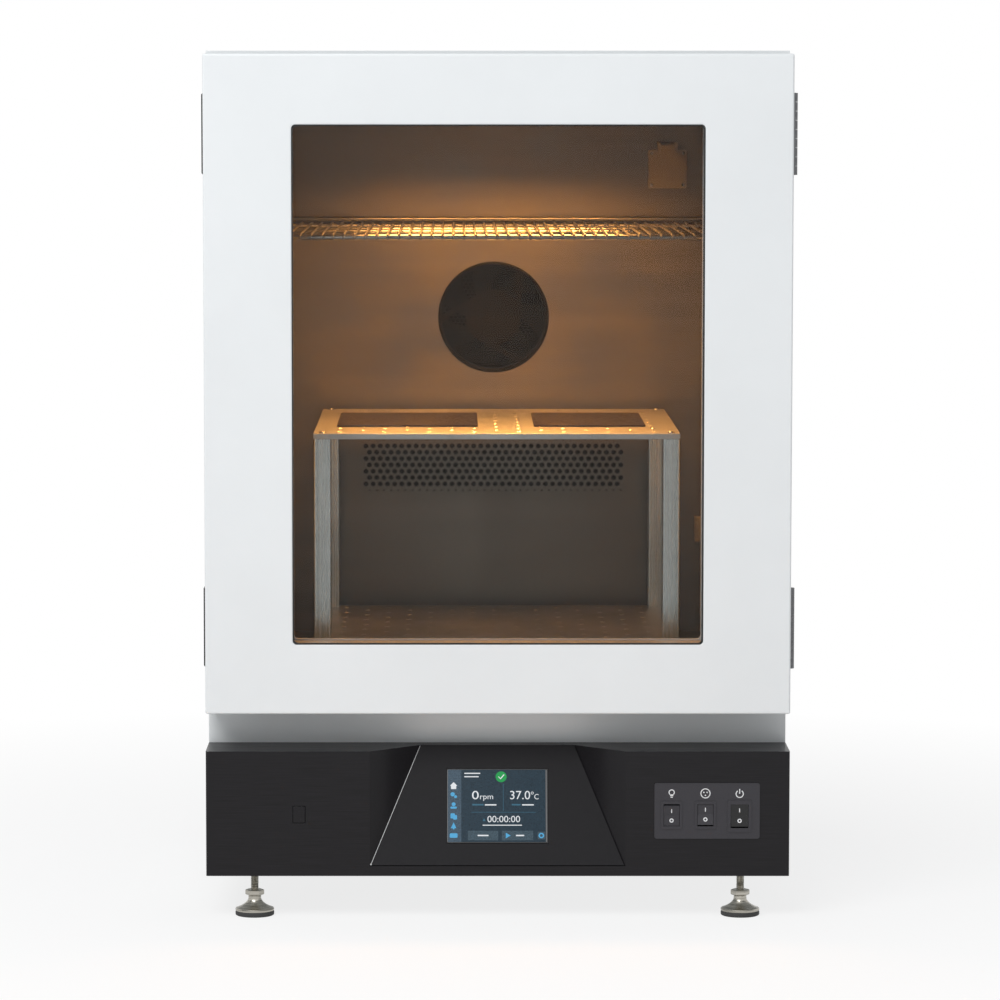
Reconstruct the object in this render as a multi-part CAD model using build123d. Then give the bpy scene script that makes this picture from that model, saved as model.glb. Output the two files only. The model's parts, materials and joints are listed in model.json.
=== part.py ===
from build123d import *
import math
import os

# A stackable incubator shaker: a heated cabinet with a windowed door, a control
# console below the door, and a two-tier platform that three eccentric shafts orbit.
# Millimetres, +Z up, front towards -Y, origin on the floor under the middle.

# How far a cutter runs past the face that it opens
CUT = 1.0

# Cabinet
FOOT_HEIGHT = 53.0
SHEET = 2.0
LINER = 2.0
SIDE_INSULATION = 50.0
TOP_INSULATION = 52.0
REAR_INSULATION = 85.0
FLOOR_INSULATION = 30.0
CHAMBER_RISE = 226.0
DUCT_DEPTH = 62.0
PAN_SHEET = 3.0
PAN_WALL = 40.0
DECK = 6.0
FRONT_PROUD = 4.0
REAR_PROUD = 2.0

# Door
DOOR_RISE = 199.3
DOOR_HEIGHT = 800.0
DOOR_THICKNESS = 68.0
DOOR_GAP = 14.0
DOOR_TOP_MARGIN = 4.0
DOOR_BACK_PLATE = 8.0
DOOR_EDGE_RADIUS = 2.5
DOOR_SIDE_BAR = 106.5
DOOR_END_BAR = 85.0
WINDOW_RADIUS = 5.0
GLASS = 4.0
GLASS_LAP = 10.0
WINDOW_LIP = 2.0
SPACER_WALL = 9.0
SEAL_WIDTH = 16.0
SEAL_INSET = 7.0
SOFT_CLEARANCE = 0.3

# Door hinges
HINGE_LENGTH = 100.0
HINGE_END_MARGIN = 47.0
HINGE_KNUCKLES = 9
KNUCKLE_RADIUS = 5.0
HINGE_PROUD = 9.5
HINGE_PIN_RADIUS = 2.5
LEAF = 2.0
LEAF_WIDTH = 32.0
KNUCKLE_GAP = 0.4
RUNNING_FIT = 0.06
SEATED_FIT = 0.02
COVER_PROUD = 6.0
COVER_WIDTH = 30.0
SCREW_HEAD_RADIUS = 3.2
SCREW_HEAD_HEIGHT = 1.4
LEAF_SCREWS = 3

# Console
CONSOLE_HEIGHT = 153.4
CONSOLE_WALL = 3.0
RECESS_DEPTH = 57.2
RECESS_CHEEK_LEAN = 60.3
WEDGE_SPARE = 10.0
CONSOLE_LIP = 12.2
PANEL_THICKNESS = 4.0
PANEL_GAP = 1.0
SCREEN_WIDTH = 123.6
SCREEN_HEIGHT = 93.2
SCREEN_RISE = 28.8
SCREEN_SIDE_MARGIN = 34.2
SCREEN_PROUD = 0.8
MODULE_MARGIN = 4.0
MODULE_DEPTH = 18.0
FITTING_GAP = 0.5

# Switches, left to right, with their offsets from the middle of the switch plate
SWITCH_PLATE_WIDTH = 128.4
SWITCH_PLATE_HEIGHT = 68.4
SWITCH_PLATE_FROM_SIDE = 100.7
SWITCH_PLATE_RISE = 80.5
SWITCH_PLATE_SHEET = 1.5
SWITCH_PLATE_RADIUS = 3.0
SWITCH_RISE = 75.3
SMALL_SWITCH_OFFSETS = (-43.3, -2.1)
SMALL_BEZEL = (26.0, 34.5)
SMALL_ROCKER = (19.0, 26.5)
POWER_SWITCH_OFFSET = 39.6
POWER_SWITCH_RISE = 74.0
POWER_BEZEL = (29.5, 39.4)
POWER_ROCKER = (20.9, 28.3)
BEZEL_THICKNESS = 1.0
SWITCH_BODY_DEPTH = 24.0
SWITCH_WALL = 1.6
ROCKER_TILT = 6.0
ROCKER_SINK = 0.3
ROCKER_BACK = 4.0
ROCKER_PIVOT_DEPTH = 7.0
ROCKER_CLEARANCE = 0.35
ROCKER_PIVOT_RADIUS = 1.5
ROCKER_PIVOT_REACH = 1.0

# Service port on the console's left
PORT_FROM_SIDE = 113.6
PORT_RISE = 75.8
PORT_SIZE = (14.6, 20.0)
PORT_PROUD = 1.2
PORT_DEPTH = 6.0

# Platforms and posts
PLATFORM = 457.0
PLATFORM_SIDE_CLEARANCE = 73.5
PLATFORM_FRONT_CLEARANCE = 76.4
PLATFORM_REAR_CLEARANCE = 39.6
PLATFORM_SHEET = 3.0
PLATFORM_LIP = 7.0
PLATFORM_RISE = 265.3
TIER_RISE = 264.6
HOLE_RADIUS = 2.6
HOLE_PITCH_X = 28.0
HOLE_PITCH_Y = 56.0
HOLE_MARGIN = 30.0
POST = 22.0
POST_RADIUS = 2.0
POST_SLOT = 2.6
POST_SLOT_DEPTH = 8.0
POST_SLOT_FROM_SIDE = 4.0
POST_TENON = 17.0
MAT_THICKNESS = 2.5
MAT_DEPTH = 235.0
MAT_FRONT = 117.6
MAT_SIDE_MARGINS = (26.5, 38.5)
MAT_INNER_ENDS = (-23.0, 48.0)

# Orbital drive
ECCENTRICITY = 12.7
CRANK_PIN_RADIUS = 8.0
CRANK_DISC_RADIUS = 24.0
CRANK_DISC = 11.0
SHAFT_RADIUS = 10.0
SHAFT_HOLE_RADIUS = 14.0
MAIN_PIN_OFFSET = (0.0, 110.0)
IDLER_PIN_OFFSETS = ((-140.0, -90.0), (140.0, -90.0))
CARRIAGE = 6.0
CARRIAGE_ARM_RADIUS = 45.0
BOSS_RADIUS = 18.0
BOSS_HEIGHT = 13.0
OPEN_PIVOT_CLEARANCE = 0.3
THRUST_GAP = 0.3
BEARING_OUTER = 21.0
BEARING_WIDTH = 12.0
HOUSING_RADIUS = 30.0
HOUSING_LENGTH = 50.0
HOUSING_FLANGE_RADIUS = 42.0
HOUSING_FLANGE = 8.0
BEARING_INSET = 3.0
PULLEY_RADIUS = 70.0
MOTOR_PULLEY_RADIUS = 22.0
PULLEY_WIDTH = 18.0
PULLEY_RISE = 75.0
PULLEY_FLANGE = 2.0
PULLEY_FLANGE_HEIGHT = 3.0
BELT_THICKNESS = 2.5
BELT_WIDTH = 12.0
BELT_CLEARANCE = 0.3
COUNTERWEIGHT_RADIUS = 75.0
COUNTERWEIGHT = 25.0
COUNTERWEIGHT_RISE = 97.0
MOTOR_DISTANCE = 190.0
MOTOR_RADIUS = 43.0
MOTOR_HEIGHT = 62.0
MOTOR_SHAFT_RADIUS = 7.0
MOTOR_FOOT = 6.0

# Air duct, fan, heater
DUCT_SHEET = 2.0
FAN_FROM_CEILING = 296.0
FAN_GRILLE_RADIUS = 74.7
FAN_RING_WALL = 4.0
FAN_HUB_RADIUS = 37.0
FAN_FRAME_DEPTH = 38.0
FAN_HUB_PLATE = 5.0
FAN_STRUTS = 3
FAN_STRUT_WIDTH = 7.0
FAN_BLADES = 7
BLADE_RADIUS = 68.0
BLADE_DEPTH = 22.0
BLADE_THICKNESS = 2.5
BLADE_PITCH = 38.0
BLADE_ROOT = 5.0
IMPELLER_GAP = 0.8
IMPELLER_HUB_RADIUS = 34.0
FAN_SHAFT_RADIUS = 4.0
FAN_MOTOR_RADIUS = 30.0
GRILLE_SHEET = 1.5
GRILLE_PITCH = 9.0
GRILLE_HOLE = 3.9
GRILLE_RIM = 4.0
HEATER_RADIUS = 112.0
HEATER_TUBE = 4.0
HEATER_FROM_PANEL = 30.0
VENT_PITCH = 9.7
VENT_ROW = 8.57
VENT_RADIUS = 3.35
VENT_ROWS = 7
VENT_COLUMNS = 36
VENT_RISE = 425.7
VENT_BORDER_RADIUS = 1.3

# Chamber fittings
PROBE_FROM_WALL = 25.3
PROBE_RISE = 364.7
PROBE_SIZE = (11.0, 9.0, 35.0)
LAMP_RADIUS = 38.0
LAMP_DROP = 16.0
LAMP_FROM_DUCT = 150.0
OUTLET_FROM_WALL = 69.2
OUTLET_FROM_CEILING = 97.3
OUTLET_SIZE = 51.4
OUTLET_DEPTH = 10.0
OUTLET_LID_RADIUS = 25.6
OUTLET_LID = 4.0
OUTLET_BAND = 27.0
OUTLET_HINGE_RISE = 31.0
OUTLET_BARREL_RADIUS = 4.5
OUTLET_EAR = 4.3
OUTLET_PIN_RADIUS = 1.5
OUTLET_HINGE_GAP = 0.3

# Wire shelf
SHELF_FROM_CEILING = 172.8
SHELF_FRONT = 38.0
SHELF_SIDE_GAP = 6.0
SHELF_BACK_GAP = 12.0
SHELF_RIM = 3.0
SHELF_WIRE = 1.5
SHELF_PITCH = 13.5
SHELF_BEARERS = 4
SHELF_UPSTAND = 9.0
WELD = 0.8
RAIL_WIDTH = 13.0
RAIL_HEIGHT = 9.0
RAIL_STOP = 7.0
RAIL_STOP_DEPTH = 6.0

# Electronics, inlet, rear panel
BOARD = (190.0, 130.0, 1.6)
BOARD_FROM_SIDE = 136.0
BOARD_FROM_FRONT = 260.0
STANDOFF_RADIUS = 4.0
STANDOFF_HEIGHT = 10.0
STANDOFF_INSET = 10.0
SUPPLY_SIZE = (80.0, 60.0, 40.0)
HEATSINK_SIZE = (50.0, 40.0, 26.0)
INLET_FROM_SIDE = 116.0
INLET_RISE = 68.0
INLET_FLANGE = (50.0, 31.0)
INLET_BODY = (28.0, 21.0, 26.0)
INLET_CAVITY = (24.0, 16.5, 17.0)
INLET_PIN = (4.0, 2.0, 11.0)
INLET_PIN_PITCH = 7.0
INLET_PIN_DROP = 2.0
LOUVRE_COUNT = 9
LOUVRE_LENGTH = 120.0
LOUVRE_WIDTH = 5.0
LOUVRE_PITCH = 12.0
LOUVRE_X = 160.0
LOUVRE_RISE = 60.0

# Levelling feet
FOOT_FROM_SIDE = 58.0
FOOT_INSET = 30.0
FOOT_PAD_RADIUS = 23.8
FOOT_PAD = 6.0
FOOT_NECK_RADIUS = 7.8
FOOT_NECK_HEIGHT = 22.0
FOOT_HEX = 20.0
FOOT_HEX_LOW = 24.9
FOOT_HEX_HIGH = 31.8
FOOT_STUD_RADIUS = 5.0
FOOT_STUD_ABOVE = 34.0
FOOT_BOSS_RADIUS = 12.0
FOOT_BOSS_HEIGHT = 20.0
FOOT_BELL_SLOPE = 0.25

# Places worked out from the dimensions above
CHAMBER_HALF = PLATFORM / 2 + PLATFORM_SIDE_CLEARANCE
CHAMBER_DEPTH = PLATFORM_FRONT_CLEARANCE + PLATFORM + PLATFORM_REAR_CLEARANCE
HALF_WIDTH = CHAMBER_HALF + LINER + SIDE_INSULATION + SHEET
CABINET_DEPTH = CHAMBER_DEPTH + DUCT_DEPTH + LINER + REAR_INSULATION + SHEET
OVERALL_DEPTH = FRONT_PROUD + DOOR_THICKNESS + DOOR_GAP + CABINET_DEPTH + REAR_PROUD
FACE_Y = FRONT_PROUD - OVERALL_DEPTH / 2
FRONT_Y = FACE_Y + DOOR_THICKNESS + DOOR_GAP
REAR_Y = FRONT_Y + CABINET_DEPTH
BASE_Z = FOOT_HEIGHT
CONSOLE_TOP = BASE_Z + CONSOLE_HEIGHT
DOOR_Z = BASE_Z + DOOR_RISE
DOOR_TOP = DOOR_Z + DOOR_HEIGHT
DOOR_MID = (DOOR_Z + DOOR_TOP) / 2
WINDOW_WIDTH = 2 * HALF_WIDTH - 2 * DOOR_SIDE_BAR
WINDOW_HEIGHT = DOOR_HEIGHT - 2 * DOOR_END_BAR
CABINET_TOP = DOOR_TOP + DOOR_TOP_MARGIN
CHAMBER_FLOOR = BASE_Z + CHAMBER_RISE
CHAMBER_TOP = CABINET_TOP - SHEET - TOP_INSULATION - LINER
INNER_Y = FRONT_Y + SHEET
DUCT_Y = FRONT_Y + CHAMBER_DEPTH
LINER_BACK = DUCT_Y + DUCT_DEPTH
DECK_TOP = CHAMBER_FLOOR - LINER - FLOOR_INSULATION
DECK_Z = DECK_TOP - DECK
PAN_TOP = BASE_Z + PAN_SHEET
PLATFORM_TOP = BASE_Z + PLATFORM_RISE
TIER_TOP = PLATFORM_TOP + TIER_RISE
PLATFORM_Y = FRONT_Y + PLATFORM_FRONT_CLEARANCE + PLATFORM / 2
CARRIAGE_TOP = PLATFORM_TOP - PLATFORM_SHEET
CARRIAGE_Z = CARRIAGE_TOP - CARRIAGE
BOSS_Z = CARRIAGE_Z - BOSS_HEIGHT
DISC_TOP = BOSS_Z - THRUST_GAP
DISC_Z = DISC_TOP - CRANK_DISC
PIN_TOP = CARRIAGE_TOP - CARRIAGE / 2
MAIN_PIN = (MAIN_PIN_OFFSET[0], PLATFORM_Y + MAIN_PIN_OFFSET[1])
IDLER_PINS = tuple((x, PLATFORM_Y + y) for x, y in IDLER_PIN_OFFSETS)
MAIN_AXIS = (MAIN_PIN[0], MAIN_PIN[1] - ECCENTRICITY)
IDLER_AXES = tuple((x, y - ECCENTRICITY) for x, y in IDLER_PINS)
MOTOR_AXIS = (MAIN_AXIS[0] + MOTOR_DISTANCE, MAIN_AXIS[1])
PULLEY_Z = BASE_Z + PULLEY_RISE
HINGE_X = HALF_WIDTH + HINGE_PROUD - KNUCKLE_RADIUS
HINGE_Y = FRONT_Y - DOOR_GAP / 2
HINGE_LOWS = (DOOR_Z + HINGE_END_MARGIN, DOOR_TOP - HINGE_END_MARGIN - HINGE_LENGTH)
RECESS_TOP_HALF = SCREEN_WIDTH / 2 + SCREEN_SIDE_MARGIN
RECESS_FRONT_HALF = RECESS_TOP_HALF + RECESS_CHEEK_LEAN
SWITCH_PLATE_X = HALF_WIDTH - SWITCH_PLATE_FROM_SIDE
PORT_X = -HALF_WIDTH + PORT_FROM_SIDE
INLET_X = -HALF_WIDTH + INLET_FROM_SIDE
FOOT_X = HALF_WIDTH - FOOT_FROM_SIDE
MATS = (
    (-PLATFORM / 2 + MAT_SIDE_MARGINS[0], MAT_INNER_ENDS[0]),
    (MAT_INNER_ENDS[1], PLATFORM / 2 - MAT_SIDE_MARGINS[1]),
)
PROBE_X = CHAMBER_HALF - PROBE_FROM_WALL
OUTLET_X = CHAMBER_HALF - OUTLET_FROM_WALL
FAN_Z = CHAMBER_TOP - FAN_FROM_CEILING
OUTLET_Z = CHAMBER_TOP - OUTLET_FROM_CEILING
OUTLET_HINGE_Z = OUTLET_Z + OUTLET_HINGE_RISE
OUTLET_FACE = DUCT_Y - OUTLET_DEPTH
SHELF_Z = CHAMBER_TOP - SHELF_FROM_CEILING
FOOT_PLACES = {
    "foot_front_left": (-FOOT_X, FACE_Y + FOOT_INSET),
    "foot_front_right": (FOOT_X, FACE_Y + FOOT_INSET),
    "foot_rear_left": (-FOOT_X, REAR_Y - FOOT_INSET),
    "foot_rear_right": (FOOT_X, REAR_Y - FOOT_INSET),
}


# Shape helpers
def block(x, y, z):
    """A box between the low and high value on each axis."""
    size = [high - low for low, high in (x, y, z)]
    middle = [(low + high) / 2 for low, high in (x, y, z)]
    return Pos(*middle) * Box(*size)


def past(span):
    """The span made longer at both ends by the cutting allowance."""
    return span[0] - CUT, span[1] + CUT


def upright(radius, place, z):
    """A cylinder along Z."""
    return Pos(place[0], place[1], sum(z) / 2) * Cylinder(radius, z[1] - z[0])


def along_y(radius, x, y, z):
    """A cylinder along Y."""
    return Pos(x, sum(y) / 2, z) * Rot(90, 0, 0) * Cylinder(radius, y[1] - y[0])


def along_x(radius, x, y, z):
    """A cylinder along X."""
    return Pos(sum(x) / 2, y, z) * Rot(0, 90, 0) * Cylinder(radius, x[1] - x[0])


def frame_ring(half_outer, half_inner, z_outer, z_inner, y, radius=0.0):
    """A rectangular ring that faces the front, with an opening of the given corner radius."""
    ring = block((-half_outer, half_outer), y, z_outer)
    opening = block((-half_inner, half_inner), past(y), z_inner)
    if radius > 0:
        opening = fillet(opening.edges().filter_by(Axis.Y), radius)
    return ring - opening


def mirrored_pair(shape):
    """The shape and its mirror image across the middle of the object."""
    return [shape, mirror(shape, Plane.YZ)]


def solids_of(shapes):
    """All separate solids in a list of shapes."""
    return [solid for shape in shapes for solid in shape.solids()]


# Cabinet
def base_pan():
    """Folded tray under the cabinet, with a tongue under the console; it holds the feet's threads."""
    x = (-HALF_WIDTH + SHEET, HALF_WIDTH - SHEET)
    y = (INNER_Y, REAR_Y - SHEET)
    pan = block(x, y, (BASE_Z, PAN_TOP + PAN_WALL))
    inside_x = (x[0] + PAN_SHEET, x[1] - PAN_SHEET)
    inside_y = (y[0] + PAN_SHEET, y[1] - PAN_SHEET)
    pan -= block(inside_x, inside_y, (PAN_TOP, PAN_TOP + PAN_WALL + CUT))
    tongue_x = (-HALF_WIDTH + CONSOLE_WALL, HALF_WIDTH - CONSOLE_WALL)
    pan += block(tongue_x, (FACE_Y + CONSOLE_WALL, INNER_Y), (BASE_Z, PAN_TOP))
    for place in FOOT_PLACES.values():
        pan += upright(FOOT_BOSS_RADIUS, place, (PAN_TOP, PAN_TOP + FOOT_BOSS_HEIGHT))
    for place in FOOT_PLACES.values():
        hole = past((BASE_Z, PAN_TOP + FOOT_BOSS_HEIGHT))
        pan -= upright(FOOT_STUD_RADIUS + RUNNING_FIT, place, hole)
    return [pan]


def side_panels():
    """The two outer side sheets."""
    y = (FRONT_Y + SHEET, REAR_Y - SHEET)
    right = block((HALF_WIDTH - SHEET, HALF_WIDTH), y, (BASE_Z, CABINET_TOP - SHEET))
    return mirrored_pair(right)


def top_panel():
    """Flat top sheet, on which a second unit can stand."""
    z = (CABINET_TOP - SHEET, CABINET_TOP)
    return [block((-HALF_WIDTH, HALF_WIDTH), (FRONT_Y, REAR_Y), z)]


def rear_panel():
    """Rear sheet with two groups of air slots over the drive and the mains inlet's cut-out."""
    x = (-HALF_WIDTH, HALF_WIDTH)
    panel = block(x, (REAR_Y - SHEET, REAR_Y), (BASE_Z, CABINET_TOP - SHEET))
    slot = Plane.XZ * SlotOverall(LOUVRE_LENGTH, LOUVRE_WIDTH)
    cutter = extrude(slot, 2 * SHEET, both=True)
    for x_place in (0, LOUVRE_X):
        for index in range(LOUVRE_COUNT):
            z = BASE_Z + LOUVRE_RISE + index * LOUVRE_PITCH
            panel -= Pos(x_place, REAR_Y - SHEET / 2, z) * cutter
    panel -= inlet_block(INLET_BODY[0], INLET_BODY[1], (REAR_Y - 2 * SHEET, REAR_Y + SHEET))
    return [panel]


def face_frame():
    """Front sheet: the ring that the door seals against, and the neck between door and console."""
    z = (PAN_TOP, CABINET_TOP - SHEET)
    chamber = (CHAMBER_FLOOR, CHAMBER_TOP)
    return [frame_ring(HALF_WIDTH, CHAMBER_HALF, z, chamber, (FRONT_Y, INNER_Y))]


def chamber_liner():
    """Stainless lining as five sheets that meet edge to edge."""
    half = CHAMBER_HALF
    z = (CHAMBER_FLOOR - LINER, CHAMBER_TOP + LINER)
    y = (INNER_Y, LINER_BACK)
    sides = mirrored_pair(block((half, half + LINER), y, z))
    floor = block((-half, half), y, (z[0], CHAMBER_FLOOR))
    for place in (MAIN_AXIS, *IDLER_AXES):
        floor -= upright(SHAFT_HOLE_RADIUS, place, past((z[0], CHAMBER_FLOOR)))
    ceiling = block((-half, half), y, (CHAMBER_TOP, z[1]))
    back_y = (LINER_BACK, LINER_BACK + LINER)
    back = block((-half - LINER, half + LINER), back_y, z)
    return [*sides, floor, ceiling, back]


def insulation():
    """Five slabs of mineral wool between the lining and the outer sheets."""
    y = (INNER_Y, REAR_Y - SHEET)
    z = (DECK_TOP, CABINET_TOP - SHEET)
    inner = CHAMBER_HALF + LINER
    sides = mirrored_pair(block((inner, HALF_WIDTH - SHEET), y, z))
    back_y = (LINER_BACK + LINER, y[1])
    back = block((-inner, inner), back_y, z)
    slab_y = (INNER_Y, LINER_BACK + LINER)
    floor = block((-inner, inner), slab_y, (DECK_TOP, CHAMBER_FLOOR - LINER))
    for place in (MAIN_AXIS, *IDLER_AXES):
        floor -= upright(BEARING_OUTER, place, past((DECK_TOP, CHAMBER_FLOOR - LINER)))
    top = block((-inner, inner), slab_y, (CHAMBER_TOP + LINER, z[1]))
    return [*sides, back, floor, top]


def drive_deck():
    """Steel deck under the chamber that carries the three bearing housings."""
    x = (-HALF_WIDTH + SHEET, HALF_WIDTH - SHEET)
    deck = block(x, (INNER_Y, REAR_Y - SHEET), (DECK_Z, DECK_TOP))
    for place in (MAIN_AXIS, *IDLER_AXES):
        deck -= upright(SHAFT_HOLE_RADIUS, place, past((DECK_Z, DECK_TOP)))
    return [deck]


# Console
def recess_wedge(grow, sink):
    """Space in front of the sloping panel: upright cheeks that close in towards the back, and a
    sloping floor. grow moves the cheeks outwards and sink lowers the floor along its normal."""
    rise = CONSOLE_HEIGHT - CONSOLE_LIP
    slope = math.hypot(RECESS_DEPTH, rise)
    cheek = math.hypot(RECESS_FRONT_HALF - RECESS_TOP_HALF, RECESS_DEPTH)
    widen = grow * cheek / RECESS_DEPTH
    per_y = (RECESS_FRONT_HALF - RECESS_TOP_HALF) / RECESS_DEPTH
    ahead = WEDGE_SPARE
    behind = RECESS_DEPTH + WEDGE_SPARE
    front_half = RECESS_FRONT_HALF + widen + ahead * per_y
    back_half = RECESS_FRONT_HALF + widen - behind * per_y
    plan = Polygon(
        (-front_half, FACE_Y - ahead), (front_half, FACE_Y - ahead),
        (back_half, FACE_Y + behind), (-back_half, FACE_Y + behind), align=None)
    prism = extrude(Pos(0, 0, BASE_Z - CONSOLE_HEIGHT) * plan, 3 * CONSOLE_HEIGHT)
    low_y = FACE_Y + sink * rise / slope
    low_z = BASE_Z + CONSOLE_LIP - sink * RECESS_DEPTH / slope
    per_z = RECESS_DEPTH / rise
    start = low_z - (low_y - FACE_Y + ahead) / per_z
    top = CONSOLE_TOP + WEDGE_SPARE
    side = Polygon(
        (FACE_Y - ahead, start), (low_y + (top - low_z) * per_z, top), (FACE_Y - ahead, top),
        align=None)
    wedge = extrude(Plane.YZ * side, front_half + CUT, both=True)
    return prism & wedge


def slope_plane():
    """Frame on the sloping panel: x right, y up the slope from its lower edge, z outwards."""
    rise = CONSOLE_HEIGHT - CONSOLE_LIP
    return Plane((0, FACE_Y, BASE_Z + CONSOLE_LIP), x_dir=(1, 0, 0), z_dir=(0, -rise, RECESS_DEPTH))


def on_slope(width, height, z, gap=0.0):
    """A box that is centred on the screen, between two heights over the sloping face."""
    middle = SCREEN_RISE + SCREEN_HEIGHT / 2
    box = Box(width + 2 * gap, height + 2 * gap, z[1] - z[0])
    return slope_plane() * Pos(0, middle, sum(z) / 2) * box


def console_shell():
    """Moulded front housing, open behind and below, with the recess for the sloping panel."""
    x = (-HALF_WIDTH, HALF_WIDTH)
    outer = block(x, (FACE_Y, FRONT_Y), (BASE_Z, CONSOLE_TOP))
    outer = fillet(outer.edges().filter_by(Axis.Z).group_by(Axis.Y)[0], DOOR_EDGE_RADIUS)
    spare_y = (FACE_Y - WEDGE_SPARE, FRONT_Y)
    above_lip = block(x, spare_y, (BASE_Z + CONSOLE_LIP, CONSOLE_TOP + WEDGE_SPARE))
    outer -= recess_wedge(0, PANEL_THICKNESS) & above_lip
    inner_x = (x[0] + CONSOLE_WALL, x[1] - CONSOLE_WALL)
    inner_z = (BASE_Z - CUT, CONSOLE_TOP - CONSOLE_WALL)
    inner = block(inner_x, (FACE_Y + CONSOLE_WALL, FRONT_Y + CUT), inner_z)
    above_pan = block(x, spare_y, (PAN_TOP, CONSOLE_TOP + WEDGE_SPARE))
    inner -= recess_wedge(CONSOLE_WALL, PANEL_THICKNESS + CONSOLE_WALL) & above_pan
    shell = outer - inner
    module = (SCREEN_WIDTH - 2 * MODULE_MARGIN, SCREEN_HEIGHT - 2 * MODULE_MARGIN)
    wall = (-PANEL_THICKNESS - CONSOLE_WALL, -PANEL_THICKNESS)
    shell -= on_slope(*module, past(wall), FITTING_GAP)
    depth = past((FACE_Y, FACE_Y + CONSOLE_WALL))
    for width, height, place, rise in switch_cutouts():
        z = (BASE_Z + rise - height / 2, BASE_Z + rise + height / 2)
        shell -= block((place - width / 2, place + width / 2), depth, z)
    shell -= port_block(-FITTING_GAP, depth)
    return [shell]


def display_panel():
    """Sloping centre plate with the screen's cut-out."""
    plate = recess_wedge(-PANEL_GAP, PANEL_THICKNESS) - recess_wedge(WEDGE_SPARE, 0)
    z = (BASE_Z + CONSOLE_LIP + PANEL_GAP, CONSOLE_TOP)
    plate &= block((-HALF_WIDTH, HALF_WIDTH), (FACE_Y, FRONT_Y), z)
    plate -= on_slope(SCREEN_WIDTH, SCREEN_HEIGHT, past((-PANEL_THICKNESS, 0)), FITTING_GAP)
    return [plate]


def display_module():
    """Touch screen: cover glass that fills the cut-out, and its body behind."""
    glass = on_slope(SCREEN_WIDTH, SCREEN_HEIGHT, (-PANEL_THICKNESS, SCREEN_PROUD))
    body = (SCREEN_WIDTH - 2 * MODULE_MARGIN, SCREEN_HEIGHT - 2 * MODULE_MARGIN)
    return [glass + on_slope(*body, (-PANEL_THICKNESS - MODULE_DEPTH, -PANEL_THICKNESS))]


def all_switches():
    """Centre, rise, bezel and rocker size of each switch, from left to right."""
    middle = SWITCH_PLATE_X
    small = [(middle + x, SWITCH_RISE, SMALL_BEZEL, SMALL_ROCKER) for x in SMALL_SWITCH_OFFSETS]
    return [*small, (middle + POWER_SWITCH_OFFSET, POWER_SWITCH_RISE, POWER_BEZEL, POWER_ROCKER)]


def switch_cutouts():
    """Width, height, centre and rise of each hole that a switch body passes."""
    holes = []
    for x, rise, bezel, rocker in all_switches():
        width = rocker[0] + 2 * SWITCH_WALL + 2 * ROCKER_CLEARANCE
        height = rocker[1] + 2 * SWITCH_WALL + 2 * ROCKER_CLEARANCE
        holes.append((width, height, x, rise))
    return holes


def switch_plate():
    """Thin plate around the three switches, on the console's face."""
    half = SWITCH_PLATE_WIDTH / 2
    middle = BASE_Z + SWITCH_PLATE_RISE
    z = (middle - SWITCH_PLATE_HEIGHT / 2, middle + SWITCH_PLATE_HEIGHT / 2)
    x = (SWITCH_PLATE_X - half, SWITCH_PLATE_X + half)
    sheet_y = (FACE_Y - SWITCH_PLATE_SHEET, FACE_Y)
    plate = block(x, sheet_y, z)
    plate = fillet(plate.edges().filter_by(Axis.Y), SWITCH_PLATE_RADIUS)
    for width, height, place, rise in switch_cutouts():
        hole_z = (BASE_Z + rise - height / 2, BASE_Z + rise + height / 2)
        plate -= block((place - width / 2, place + width / 2), past(sheet_y), hole_z)
    return [plate]


def switch_housings():
    """Bezel and hollow body of each rocker switch."""
    housings = []
    front = FACE_Y - SWITCH_PLATE_SHEET
    for (x, rise, bezel, rocker), (width, height, _, _) in zip(all_switches(), switch_cutouts()):
        z = BASE_Z + rise
        flange = block(
            (x - bezel[0] / 2, x + bezel[0] / 2), (front - BEZEL_THICKNESS, front),
            (z - bezel[1] / 2, z + bezel[1] / 2))
        flange = fillet(flange.edges().filter_by(Axis.Y), SWITCH_WALL)
        body = block(
            (x - width / 2, x + width / 2), (front, front + SWITCH_BODY_DEPTH),
            (z - height / 2, z + height / 2))
        half_x = rocker[0] / 2 + ROCKER_CLEARANCE
        half_z = rocker[1] / 2 + ROCKER_CLEARANCE
        hollow_y = (front - BEZEL_THICKNESS - CUT, front + SWITCH_BODY_DEPTH - SWITCH_WALL)
        hollow = block((x - half_x, x + half_x), hollow_y, (z - half_z, z + half_z))
        socket = (x - half_x - ROCKER_PIVOT_REACH, x + half_x + ROCKER_PIVOT_REACH)
        pivots = along_x(ROCKER_PIVOT_RADIUS, socket, front + ROCKER_PIVOT_DEPTH, z)
        housings.append(flange + body - hollow - pivots)
    return housings


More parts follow.
